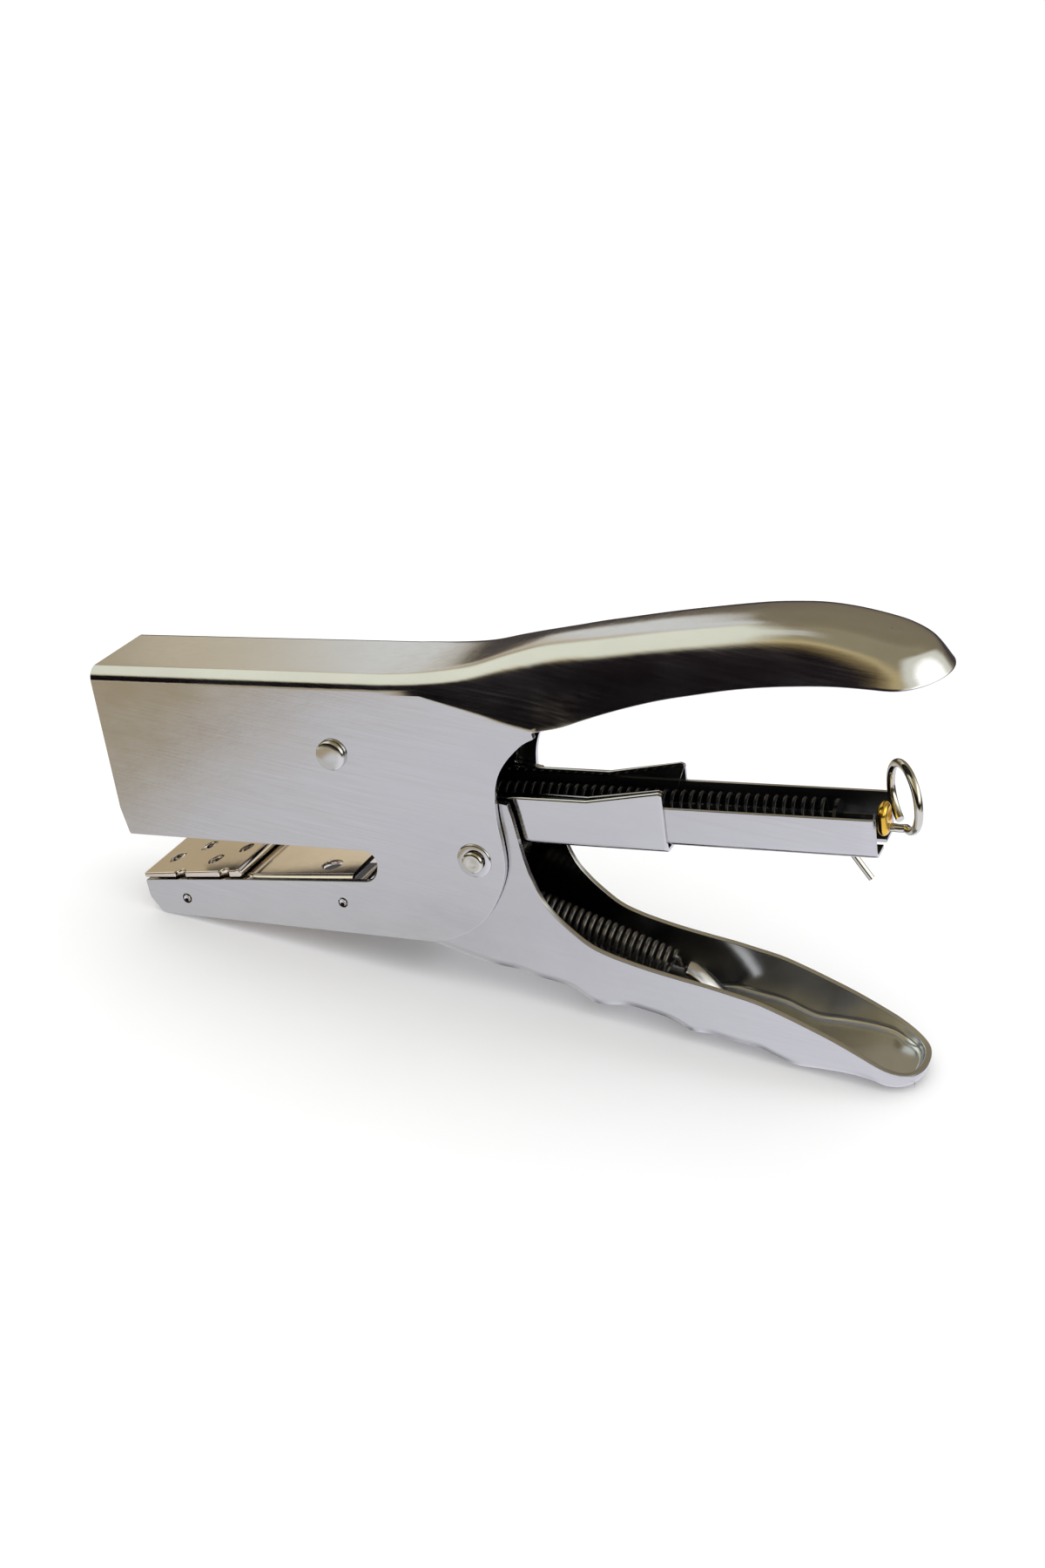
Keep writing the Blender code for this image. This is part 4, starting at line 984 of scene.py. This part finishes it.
def make_pusher_spring():
    x0 = MAG_FRONT + 0.4 + FOLLOWER_LEN + GAP + COIL_WIRE
    x1 = FLANGE_X - GAP - COIL_WIRE
    obj = wire_piece("push_coil", coil_points(x0, x1, ROD_Z, COIL_R, COIL_PITCH, 14), COIL_WIRE,
                     SPRING, 3)
    finish_piece(obj, None, (), 0.0, 60.0)
    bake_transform(obj)
    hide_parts("pusher_spring")


make_pusher_spring()


def make_return_spring():
    a0 = Vector(HOOK_PIN)
    a1 = Vector(TAB_HOOK)
    line = (a1 - a0).normalized()
    across = Vector((-line.y, line.x))
    length = (a1 - a0).length
    hook_r = HOOK_PIN_R + RETURN_WIRE + 0.15
    start = 5.4
    stop = length - 4.0
    local = []
    for k in range(14):
        a = math.radians(80 + 160 * k / 13)
        local.append((hook_r * math.cos(a), 0.0, hook_r * math.sin(a)))
    local.append((hook_r + 1.2, 0.0, -RETURN_R))
    turns = (stop - start) / RETURN_PITCH
    n = int(turns * 18)
    for i in range(n + 1):
        a = -math.pi / 2 + math.tau * turns * i / n
        local.append((lerp(start, stop, i / n), RETURN_R * math.cos(a), RETURN_R * math.sin(a)))
    local += [(length - 3.2, 0.0, RETURN_R * 0.7), (length - 3.0, 0.0, RETURN_R * 0.4),
              (length - 2.4, 0.0, 0.3)]
    pts = []
    for u, v, s in local:
        q = a0 + line * u + across * s
        pts.append((q.x, v, q.y))
    obj = wire_piece("return_coil", pts, RETURN_WIRE, RETURN, 4)
    finish_piece(obj, None, (), 0.0, 60.0)
    s = a0 + line * 3.0
    e = a0 + line * (length - 3.0)
    head_point(s.x, 0, s.y)
    head_point(e.x, 0, e.y)
    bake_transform(obj)
    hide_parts("return_spring")


make_return_spring()


def make_ring():
    ring_z0 = RING_Z - RING_R
    spin = Matrix.Rotation(math.radians(RING_TURN), 3, 'Z')
    pts = [(PLUG_X + PLUG_LEN + 0.1, 0.0, ring_z0), (RING_X - 2.0, 0.0, ring_z0),
           (RING_X - 1.0, -0.1, ring_z0)]
    for i in range(RING_STEPS + 1):
        a = math.radians(-90.0 + RING_SWEEP * i / RING_STEPS)
        p = spin @ Vector((RING_R * math.cos(a), 0, RING_R * math.sin(a)))
        pts.append((RING_X + p.x, p.y, RING_Z + p.z))
    obj = wire_piece("ring", pts, RING_WIRE, WIRE, 8)
    finish_piece(obj, "pullout", ["pull_ring"], 0.0, 60.0)


make_ring()


def make_latch():
    tail = [(PLUG_X - 0.1, 6.0), (68.3, 5.9), (67.6, 5.3), (67.3, 4.4), (67.4, 3.0),
            (67.9, 1.5), (68.9, -0.1), (70.0, -1.8), (71.0, -3.3)]
    pts = [(x, 0.0, z) for x, z in curve_through(tail, 4)]
    obj = wire_piece("latch", pts, TAIL_WIRE, WIRE, 6)
    finish_piece(obj, "pullout", ["latch_wire"], 0.0, 60.0)


make_latch()


def make_plug():
    half = PLUG_HALF - 0.3
    outline = rounded([(half, PLUG_Z0 + 0.4, 1.8), (half, PLUG_Z1 - 0.8, 1.9),
                       (-half, PLUG_Z1 - 0.8, 1.9), (-half, PLUG_Z0 + 0.4, 1.8)], 6)
    bm = bmesh.new()
    face = bm.faces.new([bm.verts.new((PLUG_X + PLUG_BACK, y, z)) for y, z in outline])
    out = bmesh.ops.extrude_face_region(bm, geom=[face])
    moved = [g for g in out["geom"] if isinstance(g, bmesh.types.BMVert)]
    bmesh.ops.translate(bm, verts=moved, vec=(PLUG_LEN - PLUG_BACK, 0, 0))
    obj = piece("plug", bm, BRASS)
    finish_piece(obj, "pullout", ["end_plug"], PLUG_ROUND, 60.0, 6)


make_plug()

# ------------------------------------------------------------------ inner pieces keep their shape
FINISH = {
    "driver_block": RAW, "driver_blade": BRIGHT, "driver_pin": RAW, "nose_guide": NICKEL,
    "inner_washer_near": RAW, "inner_washer_far": RAW, "spring_hook_pin": RAW,
    "stop_sleeve": RAW, "follower": RAW, "guide_rod": SPRING,
}
for name, mat in FINISH.items():
    mesh = frame["nodes"][name].data
    for i in range(len(mesh.materials)):
        mesh.materials[i] = mat
    if not mesh.materials:
        mesh.materials.append(mat)

# ------------------------------------------------------------------ stage
def make_floor():
    bm = bmesh.new()
    bmesh.ops.create_grid(bm, x_segments=1, y_segments=1, size=4.0)
    mesh = bpy.data.meshes.new("floor")
    bm.to_mesh(mesh)
    bm.free()
    obj = bpy.data.objects.new("floor", mesh)
    n = Nodes("pale_floor")
    grain = n.noise(n.mapped((1.0, 1.0, 1.0)), 30.0, 2.0)
    n.link(n.blend(grain, (0.90, 0.90, 0.90), (0.93, 0.93, 0.93)), n.bsdf.inputs["Base Color"])
    n.bsdf.inputs["Roughness"].default_value = 0.9
    n.bsdf.inputs["Specular IOR Level"].default_value = 0.0
    mesh.materials.append(n.mat)
    bpy.context.scene.collection.objects.link(obj)
    obj.visible_glossy = False


make_floor()

# What polished metal sees around the tool, as bands round the X axis: the angle is 0 in
# front at eye level, 90 overhead and 180 behind.
BANDS = [
    (-180, (0.06, 0.05, 0.05)), (-120, (0.10, 0.10, 0.10)), (-85, (0.22, 0.22, 0.23)),
    (-60, (0.50, 0.51, 0.54)), (-42, (0.78, 0.79, 0.86)), (-26, (0.82, 0.83, 0.90)),
    (-21, (0.72, 0.68, 0.58)), (-17, (0.50, 0.42, 0.30)), (-13, (0.05, 0.04, 0.03)),
    (-10, (0.004, 0.003, 0.004)), (23, (0.008, 0.004, 0.006)), (29, (0.22, 0.16, 0.07)),
    (40, (0.64, 0.52, 0.27)), (58, (0.42, 0.36, 0.21)), (68, (0.44, 0.39, 0.25)),
    (80, (0.70, 0.68, 0.57)), (98, (0.72, 0.69, 0.60)), (112, (0.42, 0.37, 0.25)),
    (136, (0.31, 0.26, 0.17)), (158, (0.27, 0.23, 0.15)), (167, (0.24, 0.20, 0.14)),
    (174, (0.18, 0.15, 0.11)), (180, (0.06, 0.05, 0.05)),
]


class Sky:
    """Short names for building the world's nodes."""

    def __init__(self, name):
        world = bpy.data.worlds.new(name)
        world.use_nodes = True
        bpy.context.scene.world = world
        self.nodes = world.node_tree.nodes
        self.link = world.node_tree.links.new
        coord = self.nodes.new("ShaderNodeTexCoord")
        split = self.nodes.new("ShaderNodeSeparateXYZ")
        self.link(coord.outputs["Generated"], split.inputs[0])
        self.x, self.y, self.z = split.outputs

    def maths(self, op, *values):
        node = self.nodes.new("ShaderNodeMath")
        node.operation = op
        for i, v in enumerate(values):
            if isinstance(v, (int, float)):
                node.inputs[i].default_value = v
            else:
                self.link(v, node.inputs[i])
        return node.outputs[0]

    def times(self, first, *others):
        for other in others:
            first = self.maths('MULTIPLY', first, other)
        return first

    def less(self, value):
        return self.maths('MULTIPLY', value, -1.0)

    def ease(self, value, lo, hi):
        """Rises smoothly from 0 at lo to 1 at hi."""
        node = self.nodes.new("ShaderNodeMapRange")
        node.interpolation_type = 'SMOOTHSTEP'
        node.inputs["From Min"].default_value = lo
        node.inputs["From Max"].default_value = hi
        self.link(value, node.inputs["Value"])
        return node.outputs["Result"]

    def tinted(self, fac, under, colour):
        node = self.nodes.new("ShaderNodeMix")
        node.data_type = 'RGBA'
        self.link(fac, node.inputs["Factor"])
        sockets = [i for i in node.inputs if i.type == 'RGBA']
        self.link(under, sockets[0])
        sockets[1].default_value = (colour[0], colour[1], colour[2], 1.0)
        return [o for o in node.outputs if o.type == 'RGBA'][0]

    def bands(self, rows):
        """Colours by the angle round the X axis."""
        turn = self.maths('ARCTAN2', self.z, self.less(self.y))
        share = self.maths('MULTIPLY_ADD', turn, 1.0 / math.tau, 0.5)
        ramp = self.nodes.new("ShaderNodeValToRGB")
        ramp.color_ramp.interpolation = 'EASE'
        stops = ramp.color_ramp.elements
        while len(stops) > 1:
            stops.remove(stops[-1])
        for i, (deg, c) in enumerate(rows):
            place = (deg + 180.0) / 360.0
            stop = stops[0] if i == 0 else stops.new(place)
            stop.position = place
            stop.color = (c[0], c[1], c[2], 1.0)
        self.link(share, ramp.inputs[0])
        return ramp.outputs["Color"]


def room_tints(sky):
    """Patches of the room, in the order they're laid over the bands: (where, colour)."""
    x, y, z, ease, times = sky.x, sky.y, sky.z, sky.ease, sky.times
    left = sky.less(x)
    down = sky.less(z)
    lamp = times(ease(left, 0.40, 0.54), ease(z, 0.30, 0.55))
    low = ease(down, 0.25, 0.33)
    warm = times(ease(sky.maths('SUBTRACT', z, x), -0.03, 0.08), low)
    behind = times(ease(y, 0.55, 0.75), ease(z, 0.08, 0.19),
                   sky.maths('SUBTRACT', 1.0, ease(z, 0.50, 0.62)), ease(left, 0.40, 0.47))
    pale = times(behind, ease(x, -0.60, -0.51))
    bronze = times(behind, ease(left, 0.60, 0.65))
    dusk = times(ease(x, -0.40, -0.20), ease(z, 0.60, 0.80))
    shade = times(low, ease(left, 0.28, 0.36), ease(down, 0.49, 0.55))
    open_side = times(low, ease(x, -0.32, -0.12))
    cream = times(ease(x, 0.42, 0.60), ease(z, 0.05, 0.25))
    window = times(ease(x, 0.64, 0.76), ease(z, 0.10, 0.30))
    return [(lamp, (1.05, 1.07, 0.90)), (warm, (0.50, 0.42, 0.29)),
            (behind, (0.68, 0.60, 0.45)), (pale, (0.84, 0.85, 0.84)),
            (bronze, (0.50, 0.42, 0.29)), (dusk, (0.38, 0.33, 0.21)),
            (shade, (0.68, 0.68, 0.70)), (open_side, (0.98, 0.98, 1.08)),
            (cream, (0.95, 0.95, 0.84)), (window, (1.9, 1.9, 1.85))]


def make_world():
    """White room for the floor and the camera, banded room for the metal to mirror."""
    sky = Sky("studio")
    plain = sky.nodes["Background"]
    plain.inputs["Color"].default_value = (1.0, 1.0, 1.0, 1.0)
    plain.inputs["Strength"].default_value = 1.12
    colour = sky.bands(BANDS)
    for where, tint in room_tints(sky):
        colour = sky.tinted(where, colour, tint)
    mirror = sky.nodes.new("ShaderNodeBackground")
    sky.link(colour, mirror.inputs["Color"])
    path = sky.nodes.new("ShaderNodeLightPath")
    mix = sky.nodes.new("ShaderNodeMixShader")
    sky.link(path.outputs["Is Glossy Ray"], mix.inputs["Fac"])
    sky.link(plain.outputs[0], mix.inputs[1])
    sky.link(mirror.outputs[0], mix.inputs[2])
    sky.link(mix.outputs[0], sky.nodes["World Output"].inputs["Surface"])


make_world()


def card(name, at, toward, width, height, colour, strength):
    """Soft light panel that faces a point."""
    light = bpy.data.lights.new(name, 'AREA')
    light.shape = 'RECTANGLE'
    light.size = width
    light.size_y = height
    light.color = colour
    light.energy = strength
    obj = bpy.data.objects.new(name, light)
    obj.location = at
    aim = Vector(toward) - Vector(at)
    obj.rotation_euler = aim.to_track_quat('-Z', 'Y').to_euler()
    obj.visible_glossy = False
    bpy.context.scene.collection.objects.link(obj)
    return obj


AIM = (0.0, 0.0, 0.04)
card("key", (-0.10, 0.15, 0.9), AIM, 1.0, 1.0, (1.0, 0.99, 0.97), 1.6)

bpy.context.scene.view_settings.view_transform = 'Standard'

# ------------------------------------------------------------------ camera
CAMERA_AT = (0.12334, -0.29494, 0.20890)
CAMERA_LENS = 45.14
HEADING = math.radians(22.179)
TILT = math.radians(27.823)
ROLL = math.radians(1.585)
view = Vector((-math.sin(HEADING) * math.cos(TILT), math.cos(HEADING) * math.cos(TILT),
               -math.sin(TILT)))
cam = bpy.data.cameras.new("camera")
cam.lens = CAMERA_LENS
cam.sensor_width = 36.0
cam.clip_start = 0.01
cam_obj = bpy.data.objects.new("camera", cam)
spin = Matrix.Rotation(ROLL, 4, 'Z')
cam_obj.matrix_world = (Matrix.Translation(CAMERA_AT)
                        @ view.to_track_quat('-Z', 'Y').to_matrix().to_4x4() @ spin)
bpy.context.scene.collection.objects.link(cam_obj)
bpy.context.scene.camera = cam_obj
